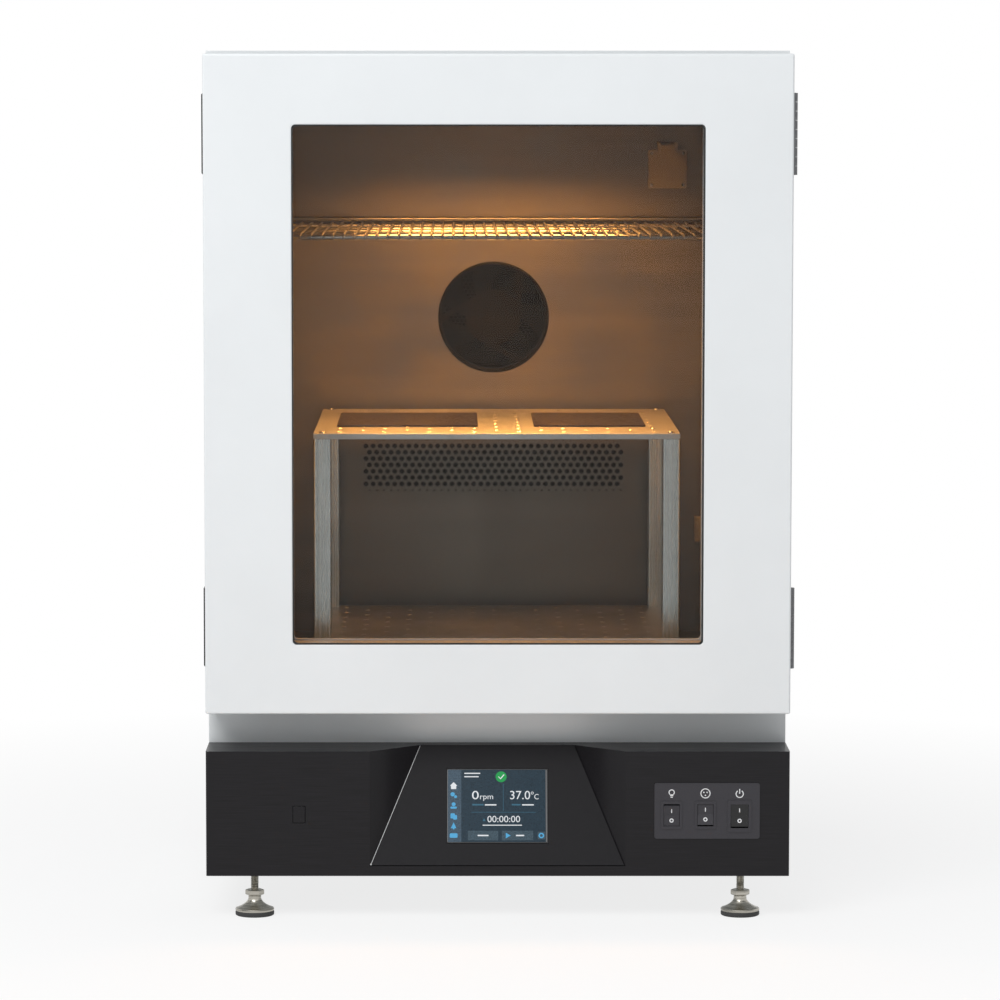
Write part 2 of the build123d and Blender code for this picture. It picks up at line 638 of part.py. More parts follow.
def rocker(x, rise, size, side):
    """Rocker with a shallow V face; its ends are cut so that they clear the housing at both tilts.
    side is 1 when the upper half is pressed in, and -1 when the lower half is."""
    radius = size[1] / 2
    face = ROCKER_PIVOT_DEPTH - ROCKER_SINK
    crest = face + radius * math.tan(math.radians(ROCKER_TILT))
    outline = Polygon(
        (-ROCKER_BACK, -radius), (crest, -radius), (face, 0), (crest, radius), (-ROCKER_BACK, radius),
        align=None)
    slab = Rectangle(4 * radius, 2 * radius)
    for turn in (-ROCKER_TILT, ROCKER_TILT):
        outline &= Rot(0, 0, turn) * slab
    facing = Plane((0, 0, 0), x_dir=(0, -1, 0), z_dir=(-1, 0, 0))
    solid = extrude(facing * outline, size[0] / 2, both=True)
    span = size[0] + 2 * ROCKER_CLEARANCE + ROCKER_PIVOT_REACH
    solid += Rot(0, 90, 0) * Cylinder(ROCKER_PIVOT_RADIUS - RUNNING_FIT, span)
    pivot_y = FACE_Y - SWITCH_PLATE_SHEET + ROCKER_PIVOT_DEPTH
    return [Pos(x, pivot_y, BASE_Z + rise) * Rot(-side * ROCKER_TILT, 0, 0) * solid]


def port_block(gap, y):
    """A box of the service port's size, made smaller all round by gap."""
    half = (PORT_SIZE[0] / 2 - gap, PORT_SIZE[1] / 2 - gap)
    z = BASE_Z + PORT_RISE
    return block((PORT_X - half[0], PORT_X + half[0]), y, (z - half[1], z + half[1]))


def port_cover():
    """Rubber plug over the service port."""
    cap = port_block(0, (FACE_Y - PORT_PROUD, FACE_Y + PORT_DEPTH))
    return [fillet(cap.edges().group_by(Axis.Y)[0], PORT_PROUD / 2)]


# Door
def door_skin():
    """Painted outer tray of the door with the window's opening."""
    z = (DOOR_Z, DOOR_TOP)
    back = FACE_Y + DOOR_THICKNESS - DOOR_BACK_PLATE
    tray = block((-HALF_WIDTH, HALF_WIDTH), (FACE_Y, back), z)
    outer_edges = tray.edges().group_by(Axis.Y)[0] + tray.edges().filter_by(Axis.Y)
    tray = fillet(outer_edges, DOOR_EDGE_RADIUS)
    inner_x = (-HALF_WIDTH + SHEET, HALF_WIDTH - SHEET)
    tray -= block(inner_x, (FACE_Y + SHEET, back + CUT), (z[0] + SHEET, z[1] - SHEET))
    half_height = WINDOW_HEIGHT / 2
    opening = block(
        (-WINDOW_WIDTH / 2, WINDOW_WIDTH / 2), past((FACE_Y, FACE_Y + SHEET)),
        (DOOR_MID - half_height, DOOR_MID + half_height))
    return [tray - fillet(opening.edges().filter_by(Axis.Y), WINDOW_RADIUS)]


def window_ring(outer_grow, inner_grow, y, radius=0.0):
    """A ring that follows the window, grown from the window's edge by the two amounts."""
    half = (WINDOW_WIDTH / 2, WINDOW_HEIGHT / 2)
    return frame_ring(
        half[0] + outer_grow, half[0] + inner_grow,
        (DOOR_MID - half[1] - outer_grow, DOOR_MID + half[1] + outer_grow),
        (DOOR_MID - half[1] - inner_grow, DOOR_MID + half[1] + inner_grow), y, radius)


def window_pane(y):
    """A pane that laps behind the window's edge."""
    half = (WINDOW_WIDTH / 2 + GLASS_LAP, WINDOW_HEIGHT / 2 + GLASS_LAP)
    return [block((-half[0], half[0]), y, (DOOR_MID - half[1], DOOR_MID + half[1]))]


def glazing_depths():
    """Where the gasket, the panes and the spacer begin and end, from the door's face inwards."""
    gasket = FACE_Y + SHEET
    outer = gasket + SHEET
    spacer = outer + GLASS
    inner = FACE_Y + DOOR_THICKNESS - DOOR_BACK_PLATE - GLASS
    return gasket, outer, spacer, inner


def window_gasket():
    """Rubber lip between the door's skin and the outer pane."""
    gasket, outer, _, _ = glazing_depths()
    return [window_ring(GLASS_LAP, -WINDOW_LIP, (gasket, outer), WINDOW_RADIUS)]


def outer_glass():
    """Outer pane, behind the gasket."""
    _, outer, spacer, _ = glazing_depths()
    return window_pane((outer, spacer))


def window_spacer():
    """Aluminium frame that holds the two panes apart and lines the window."""
    _, _, spacer, inner = glazing_depths()
    return [window_ring(GLASS_LAP, GLASS_LAP - SPACER_WALL, (spacer, inner))]


def inner_glass():
    """Inner pane, against the door's back frame."""
    _, _, _, inner = glazing_depths()
    return window_pane((inner, inner + GLASS))


def door_core():
    """Insulation inside the door as four bars round the window."""
    half = (WINDOW_WIDTH / 2 + GLASS_LAP, WINDOW_HEIGHT / 2 + GLASS_LAP)
    y = (FACE_Y + SHEET, FACE_Y + DOOR_THICKNESS - DOOR_BACK_PLATE)
    z = (DOOR_Z + SHEET, DOOR_TOP - SHEET)
    upright_z = (DOOR_MID - half[1], DOOR_MID + half[1])
    sides = mirrored_pair(block((half[0], HALF_WIDTH - SHEET), y, upright_z))
    x = (-HALF_WIDTH + SHEET, HALF_WIDTH - SHEET)
    return [*sides, block(x, y, (z[0], upright_z[0])), block(x, y, (upright_z[1], z[1]))]


def door_back_frame():
    """Back plate of the door, which clamps the inner pane and carries the seal."""
    y = (FACE_Y + DOOR_THICKNESS - DOOR_BACK_PLATE, FACE_Y + DOOR_THICKNESS)
    half_height = WINDOW_HEIGHT / 2
    z_inner = (DOOR_MID - half_height, DOOR_MID + half_height)
    return [frame_ring(HALF_WIDTH, WINDOW_WIDTH / 2, (DOOR_Z, DOOR_TOP), z_inner, y, WINDOW_RADIUS)]


def door_seal():
    """Magnetic seal that closes on the face frame round the chamber."""
    y = (FACE_Y + DOOR_THICKNESS, FRONT_Y - SOFT_CLEARANCE)
    inner = CHAMBER_HALF + SEAL_INSET
    outer = inner + SEAL_WIDTH
    z_inner = (CHAMBER_FLOOR - SEAL_INSET, CHAMBER_TOP + SEAL_INSET)
    z_outer = (z_inner[0] - SEAL_WIDTH, z_inner[1] + SEAL_WIDTH)
    return [frame_ring(outer, inner, z_outer, z_inner, y)]


# Hinges
def knuckle_spans(low, first):
    """Heights of every second knuckle of a hinge, from the first one given."""
    step = HINGE_LENGTH / HINGE_KNUCKLES
    spans = []
    for index in range(first, HINGE_KNUCKLES, 2):
        start = low + index * step
        spans.append((start + KNUCKLE_GAP / 2, start + step - KNUCKLE_GAP / 2))
    return spans


def screw_heads(x, y, low, side):
    """Pan heads in a column on a side face."""
    heads = []
    for index in range(LEAF_SCREWS):
        z = low + HINGE_LENGTH * (index + 0.5) / LEAF_SCREWS
        ends = sorted((x, x + side * SCREW_HEAD_HEIGHT))
        heads.append(along_x(SCREW_HEAD_RADIUS, ends, y, z))
    return heads


def hinge_leaf(low, first, towards, fit):
    """One leaf on the right side face: plate, knuckles and the tabs that join them."""
    edge = HINGE_Y + towards * (KNUCKLE_RADIUS + KNUCKLE_GAP)
    end = HINGE_Y + towards * LEAF_WIDTH
    x = (HALF_WIDTH, HALF_WIDTH + LEAF)
    leaf = block(x, sorted((edge, end)), (low, low + HINGE_LENGTH))
    for span in knuckle_spans(low, first):
        leaf += block(x, sorted((HINGE_Y, edge)), span)
        leaf += upright(KNUCKLE_RADIUS, (HINGE_X, HINGE_Y), span)
    bore = past((low, low + HINGE_LENGTH))
    return leaf - upright(HINGE_PIN_RADIUS + fit, (HINGE_X, HINGE_Y), bore)


def hinge_leaves(first, towards, fit):
    """Both leaves of one side with their screws."""
    pieces = []
    middle = HINGE_Y + towards * (LEAF_WIDTH + KNUCKLE_RADIUS) / 2
    for low in HINGE_LOWS:
        pieces.append(hinge_leaf(low, first, towards, fit))
        pieces.extend(screw_heads(HALF_WIDTH + LEAF, middle, low, 1))
    return pieces


def hinge_pins():
    """Pins of the two hinges, held in the cabinet's leaves."""
    spans = [(low, low + HINGE_LENGTH) for low in HINGE_LOWS]
    return [upright(HINGE_PIN_RADIUS, (HINGE_X, HINGE_Y), span) for span in spans]


def hinge_seat_covers():
    """Caps over the unused hinge seats on the left, as the door can be hung on either side."""
    covers = []
    for low in HINGE_LOWS:
        x = (-HALF_WIDTH - COVER_PROUD, -HALF_WIDTH)
        y = (INNER_Y, INNER_Y + COVER_WIDTH)
        cover = block(x, y, (low, low + HINGE_LENGTH))
        covers.append(chamfer(cover.edges().group_by(Axis.X)[0], SHEET))
    return covers


# Platforms
def hole_places():
    """Centres of the clamp holes: columns of even pitch, every second one shifted half a pitch."""
    columns = int((PLATFORM - 2 * HOLE_MARGIN) / HOLE_PITCH_X) + 1
    rows = int((PLATFORM - 2 * HOLE_MARGIN) / HOLE_PITCH_Y) + 1
    places = []
    for column in range(columns):
        x = (column - (columns - 1) / 2) * HOLE_PITCH_X
        shift = HOLE_PITCH_Y / 2 if column % 2 else 0.0
        for row in range(rows - column % 2):
            y = (row - (rows - 1) / 2) * HOLE_PITCH_Y + shift
            places.append((x, y))
    return places


def platform_tray(top):
    """Perforated sheet with a turned-down rim."""
    half = PLATFORM / 2
    y = (PLATFORM_Y - half, PLATFORM_Y + half)
    rim = block((-half, half), y, (top - PLATFORM_LIP, top))
    inner = half - PLATFORM_SHEET
    inner_y = (PLATFORM_Y - inner, PLATFORM_Y + inner)
    rim -= block((-inner, inner), inner_y, (top - PLATFORM_LIP - CUT, top - PLATFORM_SHEET))
    outline = Sketch() + [Pos(x, PLATFORM_Y + y) * Circle(HOLE_RADIUS) for x, y in hole_places()]
    holes = extrude(Pos(0, 0, top - PLATFORM_LIP) * outline, 2 * PLATFORM_LIP)
    return [rim - holes]


def tier_posts():
    """Slotted posts between the two platforms, with a tenon up into the upper one's rim."""
    centre = PLATFORM / 2 - POST / 2
    profile = RectangleRounded(POST, POST, POST_RADIUS)
    slot_x = POST / 2 - POST_SLOT_FROM_SIDE - POST_SLOT / 2
    slot_y = POST / 2 - POST_SLOT_DEPTH / 2
    for side in (-1, 1):
        profile -= Pos(slot_x, side * slot_y) * Rectangle(POST_SLOT, POST_SLOT_DEPTH)
    low = PLATFORM_TOP
    high = TIER_TOP - PLATFORM_LIP
    post = extrude(Pos(0, 0, low) * profile, high - low)
    inward = POST / 2 - POST_TENON / 2
    posts = []
    for x_side in (-1, 1):
        body = post if x_side > 0 else mirror(post, Plane.YZ)
        for y_side in (-1, 1):
            place = (x_side * centre, PLATFORM_Y + y_side * centre)
            x = place[0] - x_side * inward
            y = place[1] - y_side * inward
            tenon = block(
                (x - POST_TENON / 2, x + POST_TENON / 2), (y - POST_TENON / 2, y + POST_TENON / 2),
                (high, TIER_TOP - PLATFORM_SHEET))
            posts.append(Pos(*place, 0) * body + tenon)
    return posts


def sticky_mats():
    """Grip mats on the upper platform."""
    y_low = PLATFORM_Y - PLATFORM / 2 + MAT_FRONT
    y = (y_low, y_low + MAT_DEPTH)
    return [block(x, y, (TIER_TOP, TIER_TOP + MAT_THICKNESS)) for x in MATS]


# Orbital drive
def carriage():
    """Plate under the lower platform with a bearing boss over each crank pin."""
    pins = (MAIN_PIN, *IDLER_PINS)
    arms = [Pos(x, y) * Edge.make_circle(CARRIAGE_ARM_RADIUS) for x, y in pins]
    plate = extrude(Pos(0, 0, CARRIAGE_Z) * make_hull(arms), CARRIAGE)
    for pin in pins:
        plate += upright(BOSS_RADIUS, pin, (BOSS_Z, CARRIAGE_Z))
    gaps = (RUNNING_FIT, OPEN_PIVOT_CLEARANCE, OPEN_PIVOT_CLEARANCE)
    for pin, gap in zip(pins, gaps):
        plate -= upright(CRANK_PIN_RADIUS + gap, pin, (BOSS_Z - CUT, PIN_TOP + THRUST_GAP))
    return [plate]


def eccentric(axis, pin, low):
    """Shaft, crank disc and offset crank pin in one piece."""
    shaft = upright(SHAFT_RADIUS, axis, (low, DISC_Z))
    disc = upright(CRANK_DISC_RADIUS, axis, (DISC_Z, DISC_TOP))
    return shaft + disc + upright(CRANK_PIN_RADIUS, pin, (DISC_TOP, PIN_TOP))


def main_eccentric():
    """Driven eccentric with its counterweight opposite the crank pin."""
    body = eccentric(MAIN_AXIS, MAIN_PIN, PULLEY_Z)
    z = (BASE_Z + COUNTERWEIGHT_RISE, BASE_Z + COUNTERWEIGHT_RISE + COUNTERWEIGHT)
    weight = upright(COUNTERWEIGHT_RADIUS, MAIN_AXIS, z)
    behind = (MAIN_AXIS[1] + SHAFT_RADIUS, MAIN_AXIS[1] + COUNTERWEIGHT_RADIUS + CUT)
    x = past((MAIN_AXIS[0] - COUNTERWEIGHT_RADIUS, MAIN_AXIS[0] + COUNTERWEIGHT_RADIUS))
    weight -= block(x, behind, past(z))
    return [body + weight]


def idler_eccentric(index):
    """Undriven eccentric that guides a front corner of the carriage."""
    low = DECK_Z - HOUSING_LENGTH - BEARING_INSET
    return [eccentric(IDLER_AXES[index], IDLER_PINS[index], low)]


def bearing_housings():
    """Three flanged housings that hang under the deck."""
    housings = []
    for place in (MAIN_AXIS, *IDLER_AXES):
        body = upright(HOUSING_RADIUS, place, (DECK_Z - HOUSING_LENGTH, DECK_Z))
        body += upright(HOUSING_FLANGE_RADIUS, place, (DECK_Z - HOUSING_FLANGE, DECK_Z))
        bore = past((DECK_Z - HOUSING_LENGTH, DECK_Z))
        housings.append(body - upright(BEARING_OUTER, place, bore))
    return housings


def shaft_bearings():
    """Two ball bearings in each housing, drawn as plain rings."""
    rings = []
    for place in (MAIN_AXIS, *IDLER_AXES):
        lows = (DECK_Z - HOUSING_LENGTH + BEARING_INSET, DECK_Z - BEARING_INSET - BEARING_WIDTH)
        for low in lows:
            z = (low, low + BEARING_WIDTH)
            ring = upright(BEARING_OUTER - SEATED_FIT, place, z)
            rings.append(ring - upright(SHAFT_RADIUS + RUNNING_FIT, place, past(z)))
    return rings


def pulley(place, radius, bore):
    """Belt pulley with a flange at each end."""
    z = (PULLEY_Z, PULLEY_Z + PULLEY_WIDTH)
    wheel = upright(radius, place, z)
    for low in (z[0], z[1] - PULLEY_FLANGE):
        wheel += upright(radius + PULLEY_FLANGE_HEIGHT, place, (low, low + PULLEY_FLANGE))
    return [wheel - upright(bore, place, past(z))]


def drive_belt():
    """Belt round the two pulleys."""
    def loop(grow):
        circles = [
            Pos(*MAIN_AXIS) * Edge.make_circle(PULLEY_RADIUS + grow),
            Pos(*MOTOR_AXIS) * Edge.make_circle(MOTOR_PULLEY_RADIUS + grow)]
        return make_hull(circles)
    outline = loop(BELT_CLEARANCE + BELT_THICKNESS) - loop(BELT_CLEARANCE)
    return [extrude(Pos(0, 0, PULLEY_Z + (PULLEY_WIDTH - BELT_WIDTH) / 2) * outline, BELT_WIDTH)]


def drive_motor():
    """Motor that stands on the base pan beside the driven eccentric."""
    top = PAN_TOP + MOTOR_HEIGHT
    motor = upright(MOTOR_RADIUS, MOTOR_AXIS, (PAN_TOP, top))
    foot_half = MOTOR_RADIUS + MOTOR_FOOT
    x = (MOTOR_AXIS[0] - foot_half, MOTOR_AXIS[0] + foot_half)
    y = (MOTOR_AXIS[1] - foot_half, MOTOR_AXIS[1] + foot_half)
    motor += block(x, y, (PAN_TOP, PAN_TOP + MOTOR_FOOT))
    return [motor + upright(SHAFT_RADIUS, MOTOR_AXIS, (top, top + SHEET))]


def motor_pulley():
    """Small pulley with the motor's shaft, which turn together."""
    low = PAN_TOP + MOTOR_HEIGHT + SHEET + THRUST_GAP
    shaft = upright(MOTOR_SHAFT_RADIUS, MOTOR_AXIS, (low, PULLEY_Z + PULLEY_WIDTH))
    return [pulley(MOTOR_AXIS, MOTOR_PULLEY_RADIUS, MOTOR_SHAFT_RADIUS)[0] + shaft]


# Air duct, fan and heater
def duct_panel():
    """Perforated rear wall of the chamber, with the fan's opening and a field of air holes."""
    z_low = BASE_Z + VENT_RISE
    x = (-CHAMBER_HALF, CHAMBER_HALF)
    panel = block(x, (DUCT_Y, DUCT_Y + DUCT_SHEET), (CHAMBER_FLOOR, CHAMBER_TOP))
    cut_y = past((DUCT_Y, DUCT_Y + DUCT_SHEET))
    panel -= along_y(FAN_GRILLE_RADIUS - GRILLE_RIM, 0, cut_y, FAN_Z)
    circles = []
    for row in range(-1, VENT_ROWS + 1):
        z = z_low + row * VENT_ROW
        border = row in (-1, VENT_ROWS)
        shift = VENT_PITCH / 4 * (1 if row % 2 else -1)
        for column in range(VENT_COLUMNS):
            x_hole = (column - (VENT_COLUMNS - 1) / 2) * VENT_PITCH + shift
            radius = VENT_BORDER_RADIUS if border else VENT_RADIUS
            circles.append(Pos(x_hole, z) * Circle(radius))
    outline = Sketch() + circles
    return [panel - extrude(Plane.XZ.offset(-cut_y[0]) * outline, cut_y[0] - cut_y[1])]


def fan_grille():
    """Round guard with a hexagonal pattern of holes, on the front of the duct panel."""
    y = (DUCT_Y - GRILLE_SHEET, DUCT_Y)
    guard = along_y(FAN_GRILLE_RADIUS, 0, y, FAN_Z)
    circles = []
    rows = int(FAN_GRILLE_RADIUS / (GRILLE_PITCH * math.sin(math.pi / 3))) + 1
    for row in range(-rows, rows + 1):
        for column in range(-rows, rows + 1):
            x = (column + 0.5 * (row % 2)) * GRILLE_PITCH
            z = row * GRILLE_PITCH * math.sin(math.pi / 3)
            if math.hypot(x, z) < FAN_GRILLE_RADIUS - GRILLE_RIM - GRILLE_HOLE:
                circles.append(Pos(x, FAN_Z + z) * RegularPolygon(GRILLE_HOLE, 6, rotation=30))
    cutter = extrude(Plane.XZ.offset(CUT - y[0]) * (Sketch() + circles), -GRILLE_SHEET - 2 * CUT)
    return [guard - cutter]


def fan_frame():
    """Ring, hub plate and slanting struts of the fan, behind the duct panel."""
    front = DUCT_Y + DUCT_SHEET
    ring_outer = FAN_GRILLE_RADIUS + FAN_RING_WALL
    ring = along_y(ring_outer, 0, (front, front + FAN_FRAME_DEPTH), FAN_Z)
    ring -= along_y(FAN_GRILLE_RADIUS - GRILLE_RIM, 0, past((front, front + FAN_FRAME_DEPTH)), FAN_Z)
    plate_y = (front, front + FAN_HUB_PLATE)
    frame = ring + along_y(FAN_HUB_RADIUS, 0, plate_y, FAN_Z)
    reach = FAN_GRILLE_RADIUS - GRILLE_RIM / 2
    length = math.sqrt(reach**2 - FAN_HUB_RADIUS**2)
    strut = block((FAN_HUB_RADIUS - FAN_STRUT_WIDTH, FAN_HUB_RADIUS), plate_y, (0, length))
    for index in range(FAN_STRUTS):
        turn = 360 / FAN_STRUTS * index
        frame += Pos(0, 0, FAN_Z) * Rot(0, turn, 0) * strut
    return [frame - along_y(FAN_SHAFT_RADIUS + SEATED_FIT, 0, past(plate_y), FAN_Z)]


def fan_impeller():
    """Hub with pitched blades."""
    low = DUCT_Y + DUCT_SHEET + FAN_HUB_PLATE + IMPELLER_GAP
    hub = along_y(IMPELLER_HUB_RADIUS, 0, (low, low + BLADE_DEPTH), FAN_Z)
    length = BLADE_RADIUS - IMPELLER_HUB_RADIUS + BLADE_ROOT
    middle = IMPELLER_HUB_RADIUS - BLADE_ROOT + length / 2
    pitch = math.radians(BLADE_PITCH)
    chord = (BLADE_DEPTH - SHEET - BLADE_THICKNESS * math.sin(pitch)) / math.cos(pitch)
    blade = Rot(0, 0, 90 - BLADE_PITCH) * Box(chord, BLADE_THICKNESS, length)
    for index in range(FAN_BLADES):
        turn = Rot(0, 360 / FAN_BLADES * index, 0)
        hub += Pos(0, low + BLADE_DEPTH / 2, FAN_Z) * turn * Pos(0, 0, middle) * blade
    return [hub - along_y(FAN_SHAFT_RADIUS + RUNNING_FIT, 0, past((low, low + BLADE_DEPTH)), FAN_Z)]


def fan_motor():
    """Motor on the lining's back sheet, with the shaft that carries the impeller."""
    low = DUCT_Y + DUCT_SHEET + FAN_FRAME_DEPTH
    body = along_y(FAN_MOTOR_RADIUS, 0, (low, LINER_BACK), FAN_Z)
    return [body + along_y(FAN_SHAFT_RADIUS, 0, (DUCT_Y + DUCT_SHEET, low), FAN_Z)]


def heater_ring():
    """Tubular heating element round the fan, on two terminals."""
    y = DUCT_Y + DUCT_SHEET + HEATER_FROM_PANEL
    ring = Pos(0, y, FAN_Z) * Rot(90, 0, 0) * Torus(HEATER_RADIUS, HEATER_TUBE)
    for side in (-1, 1):
        z = FAN_Z + side * HEATER_RADIUS
        ring += along_y(HEATER_TUBE - WELD, 0, (y, LINER_BACK), z)
    return [ring]


# Chamber fittings
def temperature_probe():
    """Guarded sensor on the duct panel."""
    width, depth, height = PROBE_SIZE
    z = BASE_Z + PROBE_RISE
    x = (PROBE_X - width / 2, PROBE_X + width / 2)
    guard = block(x, (DUCT_Y - depth, DUCT_Y), (z - height / 2, z + height / 2))
    return [fillet(guard.edges().group_by(Axis.Y)[0], SHEET)]


def chamber_lamp():
    """Round lamp with a domed lens in the ceiling."""
    y = DUCT_Y - LAMP_FROM_DUCT
    rim = upright(LAMP_RADIUS + SHEET, (0, y), (CHAMBER_TOP - 2 * SHEET, CHAMBER_TOP))
    lens = Pos(0, y, CHAMBER_TOP) * Sphere(LAMP_RADIUS)
    lens &= upright(LAMP_RADIUS, (0, y), (CHAMBER_TOP - LAMP_DROP, CHAMBER_TOP))
    return [rim + lens]


def outlet_plate():
    """Socket body on the duct panel with two ears, and the lid's pin in them."""
    half = OUTLET_SIZE / 2
    plate_z = (OUTLET_Z - half, OUTLET_Z + half)
    plate = block((OUTLET_X - half, OUTLET_X + half), (OUTLET_FACE, DUCT_Y), plate_z)
    plate = fillet(plate.edges().filter_by(Axis.Y), SHEET)
    band = OUTLET_BAND / 2
    axis_y = OUTLET_FACE - OUTLET_HINGE_GAP
    top = OUTLET_HINGE_Z + OUTLET_BARREL_RADIUS
    ear_z = (OUTLET_Z + OUTLET_LID_RADIUS + OUTLET_HINGE_GAP, top)
    for side in (-1, 1):
        ends = sorted((OUTLET_X + side * band, OUTLET_X + side * (band - OUTLET_EAR)))
        plate += block(ends, (axis_y - OUTLET_BARREL_RADIUS, DUCT_Y), ear_z)
    bridge_y = (axis_y + OUTLET_BARREL_RADIUS + 2 * OUTLET_HINGE_GAP, DUCT_Y)
    x = (OUTLET_X - band, OUTLET_X + band)
    plate += block(x, bridge_y, (OUTLET_Z + half - SHEET, top))
    plate -= along_x(OUTLET_PIN_RADIUS + SEATED_FIT, past(x), axis_y, OUTLET_HINGE_Z)
    return [plate, along_x(OUTLET_PIN_RADIUS, x, axis_y, OUTLET_HINGE_Z)]


def outlet_lid():
    """Round spring lid with a band up to its barrel."""
    back = OUTLET_FACE - OUTLET_HINGE_GAP
    disc = along_y(OUTLET_LID_RADIUS, OUTLET_X, (back - OUTLET_LID, back), OUTLET_Z)
    half = OUTLET_BAND / 2 - OUTLET_EAR - OUTLET_HINGE_GAP
    x = (OUTLET_X - half, OUTLET_X + half)
    band_z = (OUTLET_Z - OUTLET_LID_RADIUS + SHEET, OUTLET_HINGE_Z)
    lid = disc + block(x, (back - OUTLET_LID - SHEET, back), band_z)
    lid += along_x(OUTLET_BARREL_RADIUS, x, back, OUTLET_HINGE_Z)
    lid -= along_x(OUTLET_PIN_RADIUS + RUNNING_FIT, past(x), back, OUTLET_HINGE_Z)
    return [lid]


# Wire shelf
def shelf_extent():
    """Left, right, front and back centre lines of the shelf's rim."""
    half = CHAMBER_HALF - SHELF_SIDE_GAP - SHELF_RIM
    front = FRONT_Y + SHELF_FRONT
    return -half, half, front, DUCT_Y - SHELF_BACK_GAP


def wire_shelf():
    """Welded shelf: rim, bearers, fine wires from front to back and a raised guard at the back."""
    left, right, front, back = shelf_extent()
    guard_z = SHELF_Z + SHELF_UPSTAND
    shelf = along_x(SHELF_RIM, (left, right), front, SHELF_Z)
    shelf += along_x(SHELF_RIM, (left, right), back, SHELF_Z)
    for x in (left, right):
        shelf += along_y(SHELF_RIM, x, (front, back), SHELF_Z)
        for y in (front, back):
            shelf += Pos(x, y, SHELF_Z) * Sphere(SHELF_RIM)
        shelf += upright(SHELF_RIM, (x, back), (SHELF_Z, guard_z))
        shelf += Pos(x, back, guard_z) * Sphere(SHELF_RIM)
    shelf += along_x(SHELF_RIM, (left, right), back, guard_z)
    wire_z = SHELF_Z + SHELF_RIM + SHELF_WIRE - WELD
    bearer_z = wire_z - SHELF_WIRE - SHELF_RIM + WELD
    for index in range(1, SHELF_BEARERS + 1):
        y = front + (back - front) * index / (SHELF_BEARERS + 1)
        shelf += along_x(SHELF_RIM - WELD, (left, right), y, bearer_z)
    count = int((right - left) / SHELF_PITCH)
    wires = []
    for index in range(1, count + 1):
        x = (index - (count + 1) / 2) * SHELF_PITCH
        wires.append(along_y(SHELF_WIRE, x, (front, back), wire_z))
    return [shelf.fuse(*wires)]


def shelf_rails():
    """Ledges on the side linings, with a stop at the front that the shelf is lifted over."""
    _, _, front, back = shelf_extent()
    x = (CHAMBER_HALF - RAIL_WIDTH, CHAMBER_HALF)
    top = SHELF_Z - SHELF_RIM - SOFT_CLEARANCE
    rail = block(x, (front, back + SHELF_RIM), (top - RAIL_HEIGHT, top))
    stop_y = (front - SHELF_RIM - RAIL_STOP_DEPTH, front - SHELF_RIM - SOFT_CLEARANCE)
    rail += block(x, (stop_y[0], front), (top - RAIL_HEIGHT, top))
    rail += block(x, stop_y, (top, top + RAIL_STOP))
    return mirrored_pair(rail)


# Electronics and rear fittings
def control_board():
    """Board on four standoffs with its supply and heat sink."""
    half = (BOARD[0] / 2, BOARD[1] / 2)
    low = PAN_TOP + STANDOFF_HEIGHT
    x = -HALF_WIDTH + BOARD_FROM_SIDE
    y = FRONT_Y + BOARD_FROM_FRONT
    board = block((x - half[0], x + half[0]), (y - half[1], y + half[1]), (low, low + BOARD[2]))
    for x_side in (-1, 1):
        for y_side in (-1, 1):
            place_x = x + x_side * (half[0] - STANDOFF_INSET)
            place_y = y + y_side * (half[1] - STANDOFF_INSET)
            board += upright(STANDOFF_RADIUS, (place_x, place_y), (PAN_TOP, low))
    top = low + BOARD[2]
    for size, offset in ((SUPPLY_SIZE, -half[0] / 2), (HEATSINK_SIZE, half[0] / 2)):
        middle = x + offset
        x_span = (middle - size[0] / 2, middle + size[0] / 2)
        board += block(x_span, (y - size[1] / 2, y + size[1] / 2), (top, top + size[2]))
    return [board]


def inlet_block(width, height, y):
    """A box centred on the mains inlet."""
    z = BASE_Z + INLET_RISE
    return block((INLET_X - width / 2, INLET_X + width / 2), y, (z - height / 2, z + height / 2))


def mains_inlet():
    """Appliance inlet with its cavity and three pins."""
    inlet = inlet_block(*INLET_FLANGE, (REAR_Y, REAR_Y + REAR_PROUD))
    inlet = fillet(inlet.edges().filter_by(Axis.Y), SHEET)
    back = REAR_Y + REAR_PROUD
    inlet += inlet_block(INLET_BODY[0], INLET_BODY[1], (back - INLET_BODY[2], REAR_Y))
    inlet -= inlet_block(INLET_CAVITY[0], INLET_CAVITY[1], (back - INLET_CAVITY[2], back + CUT))
    floor = back - INLET_CAVITY[2]
    for step in (-1, 0, 1):
        drop = 0 if step else INLET_PIN_DROP
        x = INLET_X + step * INLET_PIN_PITCH
        z = BASE_Z + INLET_RISE - INLET_PIN_DROP / 2 + drop
        pin = block(
            (x - INLET_PIN[1] / 2, x + INLET_PIN[1] / 2), (floor - CUT, floor + INLET_PIN[2]),
            (z - INLET_PIN[0] / 2, z + INLET_PIN[0] / 2))
        inlet += pin
    return [inlet]


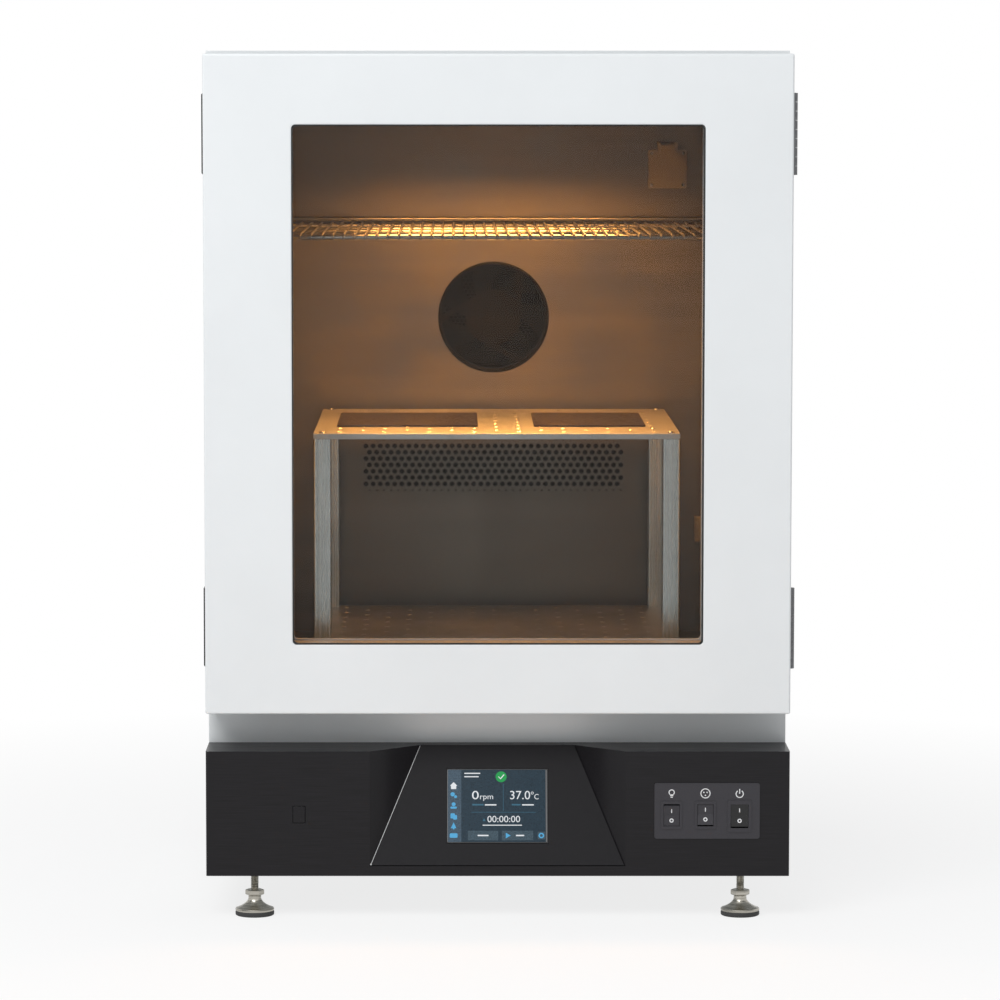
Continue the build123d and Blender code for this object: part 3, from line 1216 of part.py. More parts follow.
# Levelling feet
def levelling_foot(place):
    """Stud with a hexagon and a bell-shaped base, and the rubber pad under it."""
    x, y = place
    top = BASE_Z + FOOT_STUD_ABOVE
    outline = make_face(
        Polyline((0, FOOT_PAD), (FOOT_PAD_RADIUS, FOOT_PAD), (FOOT_PAD_RADIUS, FOOT_PAD + SHEET))
        + Spline(
            (FOOT_PAD_RADIUS, FOOT_PAD + SHEET),
            (FOOT_PAD_RADIUS / 2, (FOOT_PAD + FOOT_NECK_HEIGHT) / 2 + SHEET),
            (FOOT_NECK_RADIUS, FOOT_NECK_HEIGHT), tangents=[(-1, FOOT_BELL_SLOPE), (0, 1)])
        + Polyline((FOOT_NECK_RADIUS, FOOT_NECK_HEIGHT), (FOOT_NECK_RADIUS, FOOT_HEX_LOW), (0, FOOT_HEX_LOW))
        + Line((0, FOOT_HEX_LOW), (0, FOOT_PAD)))
    bell = revolve(Plane.XZ * outline, Axis.Z)
    flats = Pos(0, 0, FOOT_HEX_LOW) * RegularPolygon(FOOT_HEX / 2, 6, major_radius=False)
    hexagon = extrude(flats, FOOT_HEX_HIGH - FOOT_HEX_LOW)
    stud = upright(FOOT_STUD_RADIUS, (0, 0), (FOOT_HEX_HIGH, top))
    pad = upright(FOOT_PAD_RADIUS, (0, 0), (0, FOOT_PAD))
    return [Pos(x, y, 0) * (bell + hexagon + stud), Pos(x, y, 0) * pad]


def build_nodes():
    """Every node's name and its solids."""
    nodes = {
        "base_pan": base_pan(),
        "side_panels": side_panels(),
        "top_panel": top_panel(),
        "rear_panel": rear_panel(),
        "face_frame": face_frame(),
        "chamber_liner": chamber_liner(),
        "insulation": insulation(),
        "drive_deck": drive_deck(),
        "console_shell": console_shell(),
        "display_panel": display_panel(),
        "display_module": display_module(),
        "switch_plate": switch_plate(),
        "switch_housings": switch_housings(),
        "port_cover": port_cover(),
        "door_skin": door_skin(),
        "door_core": door_core(),
        "door_back_frame": door_back_frame(),
        "door_seal": door_seal(),
        "window_gasket": window_gasket(),
        "outer_glass": outer_glass(),
        "window_spacer": window_spacer(),
        "inner_glass": inner_glass(),
        "hinge_cabinet_leaves": hinge_leaves(0, 1, SEATED_FIT) + hinge_pins(),
        "hinge_door_leaves": hinge_leaves(1, -1, RUNNING_FIT),
        "hinge_seat_covers": hinge_seat_covers(),
        "lower_platform": platform_tray(PLATFORM_TOP),
        "tier_platform": platform_tray(TIER_TOP),
        "tier_posts": tier_posts(),
        "sticky_mats": sticky_mats(),
        "carriage": carriage(),
        "main_eccentric": main_eccentric(),
        "idler_eccentric_left": idler_eccentric(0),
        "idler_eccentric_right": idler_eccentric(1),
        "bearing_housings": bearing_housings(),
        "shaft_bearings": shaft_bearings(),
        "drive_pulley": pulley(MAIN_AXIS, PULLEY_RADIUS, SHAFT_RADIUS),
        "drive_belt": drive_belt(),
        "drive_motor": drive_motor(),
        "motor_pulley": motor_pulley(),
        "duct_panel": duct_panel(),
        "fan_grille": fan_grille(),
        "fan_frame": fan_frame(),
        "fan_impeller": fan_impeller(),
        "fan_motor": fan_motor(),
        "heater_ring": heater_ring(),
        "temperature_probe": temperature_probe(),
        "chamber_lamp": chamber_lamp(),
        "outlet_plate": outlet_plate(),
        "outlet_lid": outlet_lid(),
        "wire_shelf": wire_shelf(),
        "shelf_rails": shelf_rails(),
        "control_board": control_board(),
        "mains_inlet": mains_inlet(),
    }
    pressed = {"light_rocker": -1, "outlet_rocker": 1, "power_rocker": 1}
    for (name, side), (x, rise, _, size) in zip(pressed.items(), all_switches()):
        nodes[name] = rocker(x, rise, size, side)
    return nodes


def main():
    os.makedirs("parts", exist_ok=True)
    nodes = build_nodes()
    for name, place in FOOT_PLACES.items():
        nodes[name] = levelling_foot(place)
    for name, shapes in nodes.items():
        solids = solids_of(shapes)
        shape = solids[0] if len(solids) == 1 else Compound(solids)
        export_step(shape, f"parts/{name}.step")


if __name__ == "__main__":
    main()
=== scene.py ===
import json
import math

import bmesh
import bpy
import numpy as np
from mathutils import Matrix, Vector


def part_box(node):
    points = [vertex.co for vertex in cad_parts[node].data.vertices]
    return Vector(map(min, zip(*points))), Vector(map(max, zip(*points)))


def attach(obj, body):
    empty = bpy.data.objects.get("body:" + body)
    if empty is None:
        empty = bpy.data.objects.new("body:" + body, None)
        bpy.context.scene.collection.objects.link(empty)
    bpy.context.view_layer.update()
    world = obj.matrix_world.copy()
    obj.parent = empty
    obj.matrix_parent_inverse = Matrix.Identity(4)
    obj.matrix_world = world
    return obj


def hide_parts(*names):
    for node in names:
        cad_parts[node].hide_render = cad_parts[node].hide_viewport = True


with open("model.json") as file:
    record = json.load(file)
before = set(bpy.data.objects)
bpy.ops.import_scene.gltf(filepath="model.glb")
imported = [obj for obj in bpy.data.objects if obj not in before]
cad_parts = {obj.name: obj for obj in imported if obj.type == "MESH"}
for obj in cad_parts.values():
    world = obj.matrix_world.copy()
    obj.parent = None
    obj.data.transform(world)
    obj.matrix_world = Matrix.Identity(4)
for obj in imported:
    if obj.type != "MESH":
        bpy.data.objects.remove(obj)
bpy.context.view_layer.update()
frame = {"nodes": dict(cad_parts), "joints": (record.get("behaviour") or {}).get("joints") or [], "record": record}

bl_info = {
    "name": "Stackable incubator shaker",
    "version": (1, 0, 0),
    "blender": (4, 5, 0),
    "location": "3D View > Sidebar > Incubator",
    "description": "Finishes and detailed pieces of a stackable incubator shaker around its frame",
    "category": "Add Mesh",
}

MM = 0.001
JOINT_PLACE = {joint["name"]: joint["pos_m"] for joint in frame["joints"]}
FRONT_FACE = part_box("console_shell")[0].y
SHARP_ANGLE = math.radians(35)


# Colours and settings
def linear(text):
    """An sRGB hex colour as linear red, green and blue, with full alpha."""
    parts = np.array([int(text[place:place + 2], 16) for place in (1, 3, 5)]) / 255
    low = parts / 12.92
    high = ((parts + 0.055) / 1.055) ** 2.4
    return (*np.where(parts <= 0.04045, low, high).tolist(), 1.0)


def length(name, description, millimetres):
    """A length that a user can set, with its default given in millimetres."""
    return bpy.props.FloatProperty(
        name=name, description=description, default=millimetres * MM, min=0.0, precision=5, unit="LENGTH")


def colour(name, description, text):
    """A colour that a user can set, with its default given as sRGB hex."""
    return bpy.props.FloatVectorProperty(
        name=name, description=description, default=linear(text), size=4, min=0.0, max=1.0, subtype="COLOR")


def power(name, description, watts):
    """The power of a lamp that a user can set."""
    return bpy.props.FloatProperty(name=name, description=description, default=watts, min=0.0, unit="POWER")


class CabinetSettings(bpy.types.PropertyGroup):
    door_colour: colour("Door", "Powder coat of the door", "#e9ecee")
    cabinet_colour: colour("Cabinet", "Powder coat of the cabinet's sheets", "#e6e9ea")
    screw_radius: length("Screw head", "Radius of the cover screws' heads", 3.4)
    screw_height: length("Screw height", "Height of the cover screws' heads", 1.7)
    thread_pitch: length("Thread pitch", "Pitch of the levelling feet's thread", 1.5)
    thread_depth: length("Thread depth", "Depth of the levelling feet's thread", 0.9)
    seal_corner: length("Seal corner", "Corner radius of the door seal", 8.0)


class ChamberSettings(bpy.types.PropertyGroup):
    steel_colour: colour("Lining", "Stainless steel of the lining", "#90877c")
    wire_radius: length("Wire", "Radius of the shelf's fine wires", 1.5)
    rim_radius: length("Rim", "Radius of the shelf's rim and bearers", 3.0)
    wire_pitch: length("Wire pitch", "Distance between the shelf's fine wires", 13.5)
    grille_pitch: length("Guard pitch", "Distance between the holes of the fan guard", 5.7)
    grille_web: length("Guard web", "Width of the bars between the guard's holes", 1.5)
    hole_radius: length("Clamp hole", "Radius of the clamp holes in the platforms", 2.6)
    hole_pitch: length("Hole pitch", "Distance between the columns of clamp holes", 28.0)
    hole_margin: length("Hole margin", "Least distance of the clamp holes from a platform's edge", 30.0)
    mat_corner: length("Mat corner", "Corner radius of the grip mats", 5.0)
    lamp_colour: colour("Lamp", "Warm light of the chamber lamp", "#ffb25c")
    lamp_power: power("Lamp power", "Power of the chamber lamp's light", 11.0)


class ConsoleSettings(bpy.types.PropertyGroup):
    housing_colour: colour("Housing", "Moulded housing of the console", "#18161a")
    screen_colour: colour("Screen", "Background of the screen", "#1f2f3a")
    sidebar_colour: colour("Sidebar", "Strip with the menu signs", "#3b4b58")
    button_colour: colour("Buttons", "Fields of the two screen buttons", "#384852")
    mark_height: length("Switch mark", "Height of the I mark on a rocker", 4.8)


class StageSettings(bpy.types.PropertyGroup):
    surround: bpy.props.FloatProperty(
        name="Surround", description="Strength of the even light from all round", default=0.45, min=0.0)
    key_power: power("Key light", "Power of the large light above the front", 108.0)
    floor_size: bpy.props.FloatProperty(
        name="Floor", description="Side of the square floor", default=60.0, min=1.0, unit="LENGTH")


# Materials
NOISE_REACH = (0.3, 0.7)
ROLLED_CELLS = (0.35, 0.35, 0.0015)
# Places of the colour sockets among the many of a Mix node
MIX_FIRST, MIX_SECOND, MIX_RESULT = 6, 7, 2


def add_node(tree, kind, inputs=None, stops=(), **settings):
    """Adds one shader node. An input is a value or the output linked to it, stops are the places and
    colours of a ramp, and settings are the node's attributes."""
    node = tree.nodes.new("ShaderNode" + kind)
    for name, value in settings.items():
        setattr(node, name, value)
    for index, (place, value) in enumerate(stops):
        element = node.color_ramp.elements[index]
        element.position, element.color = place, value
    for name, value in (inputs or {}).items():
        if isinstance(value, bpy.types.NodeSocket):
            tree.links.new(value, node.inputs[name])
        else:
            node.inputs[name].default_value = value
    return node


def new_finish(name, **values):
    """An empty material with one Principled shader whose sockets take the given constants."""
    material = bpy.data.materials.new(name)
    material.use_nodes = True
    tree = material.node_tree
    tree.nodes.clear()
    shader = add_node(tree, "BsdfPrincipled", {key.replace("_", " "): value for key, value in values.items()})
    add_node(tree, "OutputMaterial", {"Surface": shader.outputs["BSDF"]})
    return material, tree, shader


def shade(value, amount):
    """A colour with its light multiplied by the amount."""
    return (*[channel * amount for channel in value[:3]], 1.0)


def follow(tree, shader, factors, colours, values=None, relief=None):
    """Lets sockets of the shader follow factors. colours and values give a socket a factor's name, what
    the socket has at the factor's low and high end, and those two ends where they aren't the usual
    ones. relief is a factor's name, its depth in metres and its strength."""
    for socket, (name, dark, light, *reach) in colours.items():
        start, end = reach or NOISE_REACH
        ramp = add_node(tree, "ValToRGB", {"Fac": factors[name]}, ((start, dark), (end, light)))
        tree.links.new(ramp.outputs["Color"], shader.inputs[socket])
    for socket, (name, low, high, *reach) in (values or {}).items():
        start, end = reach or NOISE_REACH
        scaled = add_node(tree, "MapRange", {
            "Value": factors[name], "From Min": start, "From Max": end, "To Min": low, "To Max": high})
        tree.links.new(scaled.outputs["Result"], shader.inputs[socket])
    if relief:
        name, depth, strength = relief
        bump = add_node(tree, "Bump", {"Height": factors[name], "Distance": depth, "Strength": strength})
        tree.links.new(bump.outputs["Normal"], shader.inputs["Normal"])


def grained(name, grains, colours, values=None, relief=None, **constants):
    """A finish that follows noises on Object coordinates. A grain has the size of its cells in metres,
    all round or along each axis, its detail and its roughness, or is the sum of two named grains."""
    material, tree, shader = new_finish(name, **constants)
    place = add_node(tree, "TexCoord").outputs["Object"]
    factors = {}
    for grain, (first, second, *roughness) in grains.items():
        if roughness:
            scale = tuple(1 / np.broadcast_to(first, 3))
            cells = add_node(tree, "Mapping", {"Vector": place, "Scale": scale})
            noise = add_node(tree, "TexNoise", {
                "Vector": cells.outputs["Vector"], "Scale": 1.0, "Detail": second, "Roughness": roughness[0]})
            factors[grain] = noise.outputs["Fac"]
        else:
            both = add_node(tree, "Math", {0: factors[first], 1: factors[second]}, operation="ADD")
            factors[grain] = both.outputs["Value"]
    follow(tree, shader, factors, colours, values, relief)
    return material


def powder_coat(name, value, roughness):
    """Polyester powder coat on steel sheet: a dense colour with the soft orange peel of a baked film,
    about 2.5 mm from crest to crest, and faint cloudiness over a hand's width."""
    return grained(
        name, {"clouds": (0.16, 4.0, 0.55), "peel": (0.0025, 1.0, 0.55)},
        {"Base Color": ("clouds", shade(value, 0.965), value)},
        {"Roughness": ("clouds", roughness - 0.04, roughness + 0.05)}, ("peel", 0.00006, 0.35),
        IOR=1.5, Coat_Weight=0.15, Coat_Roughness=0.12)


def rolled_steel(name, value, roughness, cells):
    """Stainless or plated steel sheet as it comes from the mill: straight rolling lines, drawn 1.5 mm
    wide so that they show, and clouds in the gloss where it was wiped."""
    return grained(
        name, {"lines": (cells, 4.0, 0.65), "clouds": (0.09, 3.0, 0.55), "wiped": ("lines", "clouds")},
        {"Base Color": ("lines", shade(value, 0.86), value)},
        {"Roughness": ("wiped", roughness - 0.07, roughness + 0.09, 0.75, 1.25)}, ("lines", 0.00003, 0.5),
        Metallic=1.0)


def lining_with_painted_duct_shade(value):
    """The lining's rolled stainless steel. Behind the duct panel, where the heater and the fan are, the
    steel's colour is painted much darker: painted shade inside the duct."""
    material = rolled_steel("rolled_stainless_lining", value, 0.4, ROLLED_CELLS)
    tree = material.node_tree
    base = next(node for node in tree.nodes if node.type == "BSDF_PRINCIPLED").inputs["Base Color"]
    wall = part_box("duct_panel")[1].y
    place = add_node(tree, "TexCoord")
    axes = add_node(tree, "SeparateXYZ", {"Vector": place.outputs["Object"]})
    behind = add_node(tree, "MapRange", {
        "Value": axes.outputs["Y"], "From Min": wall - 0.5 * MM, "From Max": wall + 0.5 * MM})
    # Painted shade: behind the duct panel's wall the steel's colour is mixed down to a sixth of itself
    painted_duct_shade = add_node(tree, "Mix", {
        "Factor": behind.outputs["Result"], MIX_FIRST: base.links[0].from_socket,
        MIX_SECOND: shade(value, 0.16)}, data_type="RGBA")
    tree.links.new(painted_duct_shade.outputs[MIX_RESULT], base)
    return material


def machined_rim():
    """Countersink cut through the anodised skin: bare, bright aluminium with the cutter's rings."""
    return grained(
        "bare_cut_aluminium", {"rings": ((0.02, 0.02, 0.0008), 2.0, 0.55)},
        {"Base Color": ("rings", linear("#dcdcd8"), linear("#f4f4f0"))}, {"Roughness": ("rings", 0.22, 0.4)},
        Metallic=1.0)


def zinc_plate():
    """Blue-passivated zinc plate on pressed steel: bright, slightly bluish, with cells a few
    millimetres wide that catch the light in turn."""
    material, tree, shader = new_finish("zinc_plated_steel", Metallic=1.0)
    place = add_node(tree, "TexCoord")
    cells = add_node(tree, "TexVoronoi", {"Vector": place.outputs["Object"], "Scale": 180.0}, feature="F1")
    turns = add_node(tree, "SeparateColor", {"Color": cells.outputs["Color"]})
    follow(tree, shader, {"cells": turns.outputs["Red"]},
           {"Base Color": ("cells", linear("#9da1a4"), linear("#c3c6c6"), 0.0, 1.0)},
           {"Roughness": ("cells", 0.24, 0.4, 0.0, 1.0)})
    return material


def turned_zinc():
    """Turned and zinc-plated steel of the levelling feet: rings of the lathe tool, a warm grey."""
    return grained(
        "turned_zinc_steel", {"rings": ((0.05, 0.05, 0.0009), 2.0, 0.55)},
        {"Base Color": ("rings", linear("#8b8880"), linear("#c2beb4"))}, {"Roughness": ("rings", 0.2, 0.38)},
        ("rings", 0.00006, 0.4), Metallic=1.0)


def anodised():
    """Clear anodised aluminium, bead blasted before the bath: a soft, even sheen with a fine sparkle,
    its grains drawn 0.8 mm wide so that they show."""
    return grained(
        "clear_anodised_aluminium", {"beads": (0.0008, 1.0, 0.55), "clouds": (0.07, 3.0, 0.55)},
        {"Base Color": ("clouds", linear("#c6c6c2"), linear("#d9d9d5"))}, {"Roughness": ("beads", 0.36, 0.5)},
        ("beads", 0.00003, 0.4), Metallic=1.0)


def drawn_profile():
    """Extruded aluminium section of the tier posts, anodised over its bright drawing lines, which run
    the length of the post; they are drawn 0.7 mm wide so that they show."""
    return grained(
        "drawn_aluminium_section", {"lines": ((0.0007, 0.0007, 0.25), 3.0, 0.55)},
        {"Base Color": ("lines", linear("#d3dad6"), linear("#f2f7f4"))}, {"Roughness": ("lines", 0.18, 0.34)},
        ("lines", 0.00004, 0.6), Metallic=1.0)


def dark_hinge():
    """Phosphated and oiled steel of the hinges: dark grey with a dull crystalline sheen, its crystals
    drawn 1 mm wide so that they show."""
    return grained(
        "phosphated_hinge_steel", {"crystals": (0.001, 3.0, 0.55)},
        {"Base Color": ("crystals", linear("#4e4f51"), linear("#7c7d7f"))},
        {"Roughness": ("crystals", 0.32, 0.5)}, Metallic=1.0)


def moulded(name, value, roughness, cells, depth=0.00005, contrast=0.8, gloss=0.5, coat=0.0):
    """Spark-eroded plastic: the tool's texture as fine bumps. On the console its cells are longer along
    X, as the housing is finished with a horizontal grain."""
    return grained(
        name, {"bumps": (cells, 3.0, 0.55)}, {"Base Color": ("bumps", shade(value, contrast), value)},
        {"Roughness": ("bumps", roughness - 0.05, roughness + 0.07)}, ("bumps", depth, 0.6),
        IOR=1.53, Specular_IOR_Level=gloss, Coat_Weight=coat, Coat_Roughness=0.12)


def gloss_moulding():
    """High-gloss black polycarbonate of the power rocker: a mirror-like skin with a few fine scuffs."""
    return grained(
        "gloss_black_polycarbonate", {"scuffs": ((0.004, 0.0006, 0.004), 5.0, 0.7)},
        {"Base Color": ("scuffs", linear("#060607"), linear("#141416"))},
        {"Roughness": ("scuffs", 0.08, 0.24, 0.35, 0.75)},
        IOR=1.58, Specular_IOR_Level=0.3, Coat_Weight=0.15, Coat_Roughness=0.05)


def display_glass(value):
    """Chemically hardened cover glass over black print: deep and glossy, with the dust of a day's use."""
    return grained(
        "display_cover_glass", {"dust": (0.003, 4.0, 0.7)},
        {"Base Color": ("dust", shade(value, 0.8), value)}, {"Roughness": ("dust", 0.06, 0.2)},
        IOR=1.5, Coat_Weight=0.6, Coat_Roughness=0.05)


def lit_print(name, value, backing):
    """One colour of the lit screen. The cells of the panel, drawn 0.7 mm wide, dim it slightly. backing
    is the share of the colour that the unlit print keeps."""
    material, tree, shader = new_finish(
        name, Roughness=0.25, IOR=1.5, Specular_IOR_Level=0.12, Emission_Strength=0.9)
    place = add_node(tree, "TexCoord")
    cells = add_node(tree, "TexVoronoi", {"Vector": place.outputs["Object"], "Scale": 1400.0}, feature="F1")
    follow(tree, shader, {"cells": cells.outputs["Distance"]}, {
        "Emission Color": ("cells", value, shade(value, 0.82), 0.1, 0.7),
        "Base Color": ("cells", shade(value, backing), shade(value, 0.03))})
    return material


def pane():
    """Float glass with a grey solar coating: dark enough that the lit chamber shows its own warm light,
    with a faint smear where it was wiped."""
    material = grained(
        "coated_float_glass", {"smear": ((0.3, 0.02, 0.03), 4.0, 0.6)},
        {"Base Color": ("smear", linear("#0e1110"), linear("#161a19"))},
        {"Alpha": ("smear", 0.13, 0.17), "Roughness": ("smear", 0.02, 0.06)}, IOR=1.5)
    material.surface_render_method = "BLENDED"
    return material


def rubber(name, value, roughness=0.6):
    """Moulded elastomer: a dull skin with a fine bloom that lightens it in patches."""
    return grained(
        name, {"bloom": (0.012, 5.0, 0.65), "skin": (0.0012, 2.0, 0.55)},
        {"Base Color": ("bloom", shade(value, 0.75), shade(value, 1.25))},
        {"Roughness": ("bloom", roughness - 0.08, roughness + 0.12)}, ("skin", 0.00005, 0.5),
        IOR=1.52, Sheen_Weight=0.15, Sheen_Roughness=0.4)


def grip_mat():
    """Tacky polyurethane gel, dark brown and slightly see-through, with a wet-looking pebbled top."""
    material = grained(
        "tacky_gel", {"pebbles": (0.004, 3.0, 0.55)},
        {"Base Color": ("pebbles", linear("#1c1207"), linear("#33230f"))},
        {"Roughness": ("pebbles", 0.2, 0.42)}, ("pebbles", 0.00025, 0.5),
        IOR=1.48, Coat_Weight=0.4, Coat_Roughness=0.15, Alpha=0.9)
    material.surface_render_method = "BLENDED"
    return material


def mineral_wool():
    """Bonded mineral wool: matted yellow fibres in layers, soft and completely dull."""
    return grained(
        "bonded_mineral_wool", {"layers": ((0.03, 0.03, 0.0015), 6.0, 0.7)},
        {"Base Color": ("layers", linear("#8a7636"), linear("#d9c887"))}, None, ("layers", 0.0012, 1.0),
        Roughness=0.95, Sheen_Weight=0.3, Sheen_Roughness=0.6)


def machined_iron():
    """Grey cast iron, faced on a lathe and oiled: tool rings 1 mm apart and a dark, grainy metal."""
    return grained(
        "machined_cast_iron", {
            "rings": ((0.04, 0.04, 0.001), 2.0, 0.55), "graphite": (0.0012, 4.0, 0.55),
            "faced": ("rings", "graphite")},
        {"Base Color": ("faced", linear("#5c5d60"), linear("#8d8f92"), 0.8, 1.0)},
        {"Roughness": ("faced", 0.3, 0.5, 0.8, 1.2)}, ("rings", 0.00008, 0.5), Metallic=1.0)


def bearing_steel():
    """Ground and polished chrome steel of a ball bearing's rings, with the grinding lines round it."""
    return grained(
        "ground_bearing_steel", {"lines": ((0.03, 0.03, 0.0006), 3.0, 0.55)},
        {"Base Color": ("lines", linear("#b4b6ba"), linear("#dcdee0"))}, {"Roughness": ("lines", 0.09, 0.22)},
        Metallic=1.0)


def circuit_board():
    """Epoxy board under green solder resist: lighter copper tracks 2 mm wide show through it."""
    material, tree, shader = new_finish("solder_resist_board", Roughness=0.3, IOR=1.5, Coat_Weight=0.3)
    place = add_node(tree, "TexCoord")
    tracks = add_node(tree, "TexBrick", {
        "Vector": place.outputs["Object"], "Scale": 60.0, "Mortar Size": 0.06,
        "Color1": linear("#0b3a22"), "Color2": linear("#0f4529"), "Mortar": linear("#2c6e45")})
    tree.links.new(tracks.outputs["Color"], shader.inputs["Base Color"])
    follow(tree, shader, {"tracks": tracks.outputs["Fac"]}, {}, relief=("tracks", 0.00004, 1.0))
    return material


def lamp_lens(value):
    """Opal polycarbonate lens, lit from inside: brighter in the middle of each rib."""
    return grained(
        "opal_lamp_lens", {"ribs": (0.01, 2.0, 0.55)}, {
            "Emission Color": ("ribs", shade(value, 0.8), value),
            "Base Color": ("ribs", linear("#e6dcc4"), linear("#f2ead6"))},
        Roughness=0.3, IOR=1.58, Emission_Strength=0.9)


def slot_finishes(cabinet, chamber, console):
    """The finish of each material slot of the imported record."""
    return {
        "door_enamel": powder_coat("white_powder_coat", cabinet.door_colour, 0.42),
        "cabinet_enamel": powder_coat("grey_powder_coat", cabinet.cabinet_colour, 0.46),
        "zinc_steel": zinc_plate(),
        "stainless_sheet": rolled_steel("rolled_stainless", chamber.steel_colour, 0.4, ROLLED_CELLS),
        "anodised_aluminium": anodised(),
        "console_plastic": moulded(
            "grained_dark_abs", console.housing_colour, 0.4, (0.05, 0.0012, 0.0012), 0.00006, 0.4, 0.14, 0.2),
        "switch_grey": moulded(
            "satin_grey_abs", linear("#38373c"), 0.42, (0.0012, 0.0012, 0.0012), gloss=0.3),
        "gloss_black": gloss_moulding(),
        "screen_glass": display_glass(linear("#0c0e11")),
        "clear_glass": pane(),
        "black_rubber": rubber("black_rubber", linear("#151515")),
        "grey_seal": rubber("grey_soft_vinyl", linear("#8d8f8f"), 0.5),
        "mineral_wool": mineral_wool(),
        "brown_mat": grip_mat(),
        "machined_iron": machined_iron(),
        "bearing_steel": bearing_steel(),
        "motor_paint": powder_coat("charcoal_motor_paint", linear("#33363a"), 0.5),
        "fan_black": moulded(
            "glass_filled_nylon", linear("#0b0b0b"), 0.55, (0.003, 0.003, 0.003), gloss=0.12),
        "socket_plastic": moulded(
            "light_socket_plastic", linear("#b9ad97"), 0.45, (0.002, 0.002, 0.002), 0.00004, 0.9),
        "lamp_lens": lamp_lens(chamber.lamp_colour),
        "circuit_board": circuit_board(),
        "inlet_black": moulded("black_inlet_plastic", linear("#141416"), 0.38, (0.0015, 0.0015, 0.0015)),
    }


def finish(name):
    """A finish that the finishes operator has made."""
    return bpy.data.materials[name]


# Mesh building
def ring_faces(rows, columns, closed_rows=False):
    """Quads between neighbouring rings of points, each ring closed on itself."""
    row = np.arange(rows if closed_rows else rows - 1)[:, None]
    column = np.arange(columns)[None, :]
    after = (column + 1) % columns
    below = (row + 1) % rows
    quads = [row * columns + column, row * columns + after, below * columns + after, below * columns + column]
    return np.stack(np.broadcast_arrays(*quads), -1).reshape(-1, 4)


def rings_part(rings, closed_rows=False):
    """Points and faces of a stack of closed rings, given as rows x columns x 3, with flat end faces."""
    rows, columns = rings.shape[:2]
    faces = [ring_faces(rows, columns, closed_rows)]
    if not closed_rows:
        faces.append(np.arange(columns)[None, ::-1])
        faces.append((rows - 1) * columns + np.arange(columns)[None, :])
    return rings.reshape(-1, 3), faces


def circle(steps, start=0.0):
    """Cosine and sine of evenly spaced angles round a circle, from the given start in radians."""
    angle = start + np.linspace(0, 2 * np.pi, steps, endpoint=False)
    return np.cos(angle), np.sin(angle)


def turned(profile, steps, axis="z", place=(0, 0, 0)):
    """A profile of radius and height turned about an axis: across the axis a point lies at the radius
    times the cosine and sine of the angle, along it at the height. Six steps turn a hexagon."""
    profile = np.asarray(profile, float)
    across, up = circle(steps)
    radius, height = profile[:, 0, None], profile[:, 1, None]
    columns = {"z": (0, 1, 2), "y": (0, 2, 1)}[axis]
    local = np.stack([radius * across, radius * up, height + 0 * across], -1)
    points = np.empty_like(local)
    points[..., columns] = local
    return rings_part(points + np.asarray(place, float))


def round_wire(path, radius, up, sides=8, closed=False):
    """Round wire along a path in one plane: every ring lies across the path's direction, at the radius
    times the cosine of its angle along up and the sine along the direction across both. The ends
    are rounded by rings that shrink along a quarter circle."""
    path = np.asarray(path, float)
    ahead = np.roll(path, -1, 0) - np.roll(path, 1, 0) if closed else np.gradient(path, axis=0)
    ahead /= np.linalg.norm(ahead, axis=1)[:, None]
    size = np.full(len(path), radius)
    if not closed:
        bend = np.radians([85, 55, 25])
        start = path[0] - ahead[0] * radius * np.sin(bend)[:, None]
        end = path[-1] + ahead[-1] * radius * np.sin(bend[::-1])[:, None]
        path = np.vstack([start, path, end])
        ahead = np.vstack([np.repeat(ahead[:1], 3, 0), ahead, np.repeat(ahead[-1:], 3, 0)])
        size = np.concatenate([radius * np.cos(bend), size, radius * np.cos(bend[::-1])])
    across = np.cross(ahead, np.asarray(up, float))
    across /= np.linalg.norm(across, axis=1)[:, None]
    over = np.cross(across, ahead)
    cos, sin = circle(sides)
    offset = over[:, None, :] * cos[:, None] + across[:, None, :] * sin[:, None]
    return rings_part(path[:, None, :] + offset * size[:, None, None], closed)


def rounded_outline(half_x, half_y, radius, steps=6):
    """Points and outward directions round a rectangle with arc corners, anticlockwise."""
    quarter = np.linspace(0, np.pi / 2, steps)
    angle = np.concatenate([quarter + turn * np.pi / 2 for turn in range(4)])
    centre_x = np.repeat([1, -1, -1, 1], steps) * (half_x - radius)
    centre_y = np.repeat([1, 1, -1, -1], steps) * (half_y - radius)
    outward = np.stack([np.cos(angle), np.sin(angle)], -1)
    return np.stack([centre_x, centre_y], -1) + radius * outward, outward


def swept(outline, outward, profile, flat_axes, depth_axis, centre):
    """A closed profile carried round a closed outline: each profile point is moved outwards from the
    outline by its first number and along the depth axis by its second."""
    profile = np.asarray(profile, float)
    flat = outline[:, None, :] + outward[:, None, :] * profile[None, :, :1]
    points = np.zeros((len(outline), len(profile), 3))
    points[..., flat_axes[0]] = flat[..., 0]
    points[..., flat_axes[1]] = flat[..., 1]
    points[..., depth_axis] = profile[None, :, 1]
    return rings_part(points + np.asarray(centre, float), closed_rows=True)


def slab(outline, outward, edge, centre):
    """A flat piece whose edge follows a profile of inset and height, closed by flat faces."""
    inset, height = np.asarray(edge, float).T[:, :, None, None]
    flat = outline - outward * inset
    rings = np.concatenate([flat, np.broadcast_to(height, (*flat.shape[:2], 1))], -1)
    return rings_part(rings + np.asarray(centre, float))


def copies(part, places):
    """The same part at many places."""
    points, faces = part
    places = np.asarray(places, float)
    moved = (points[None, :, :] + places[:, None, :]).reshape(-1, 3)
    steps = np.arange(len(places))[:, None, None] * len(points)
    return moved, [(face[None, :, :] + steps).reshape(-1, face.shape[1]) for face in faces]


def joined(parts):
    """Several parts as one list of points and faces."""
    points, faces, start = [], [], 0
    for some_points, some_faces in parts:
        points.append(some_points)
        faces.extend(face + start for face in some_faces)
        start += len(some_points)
    return np.concatenate(points), faces


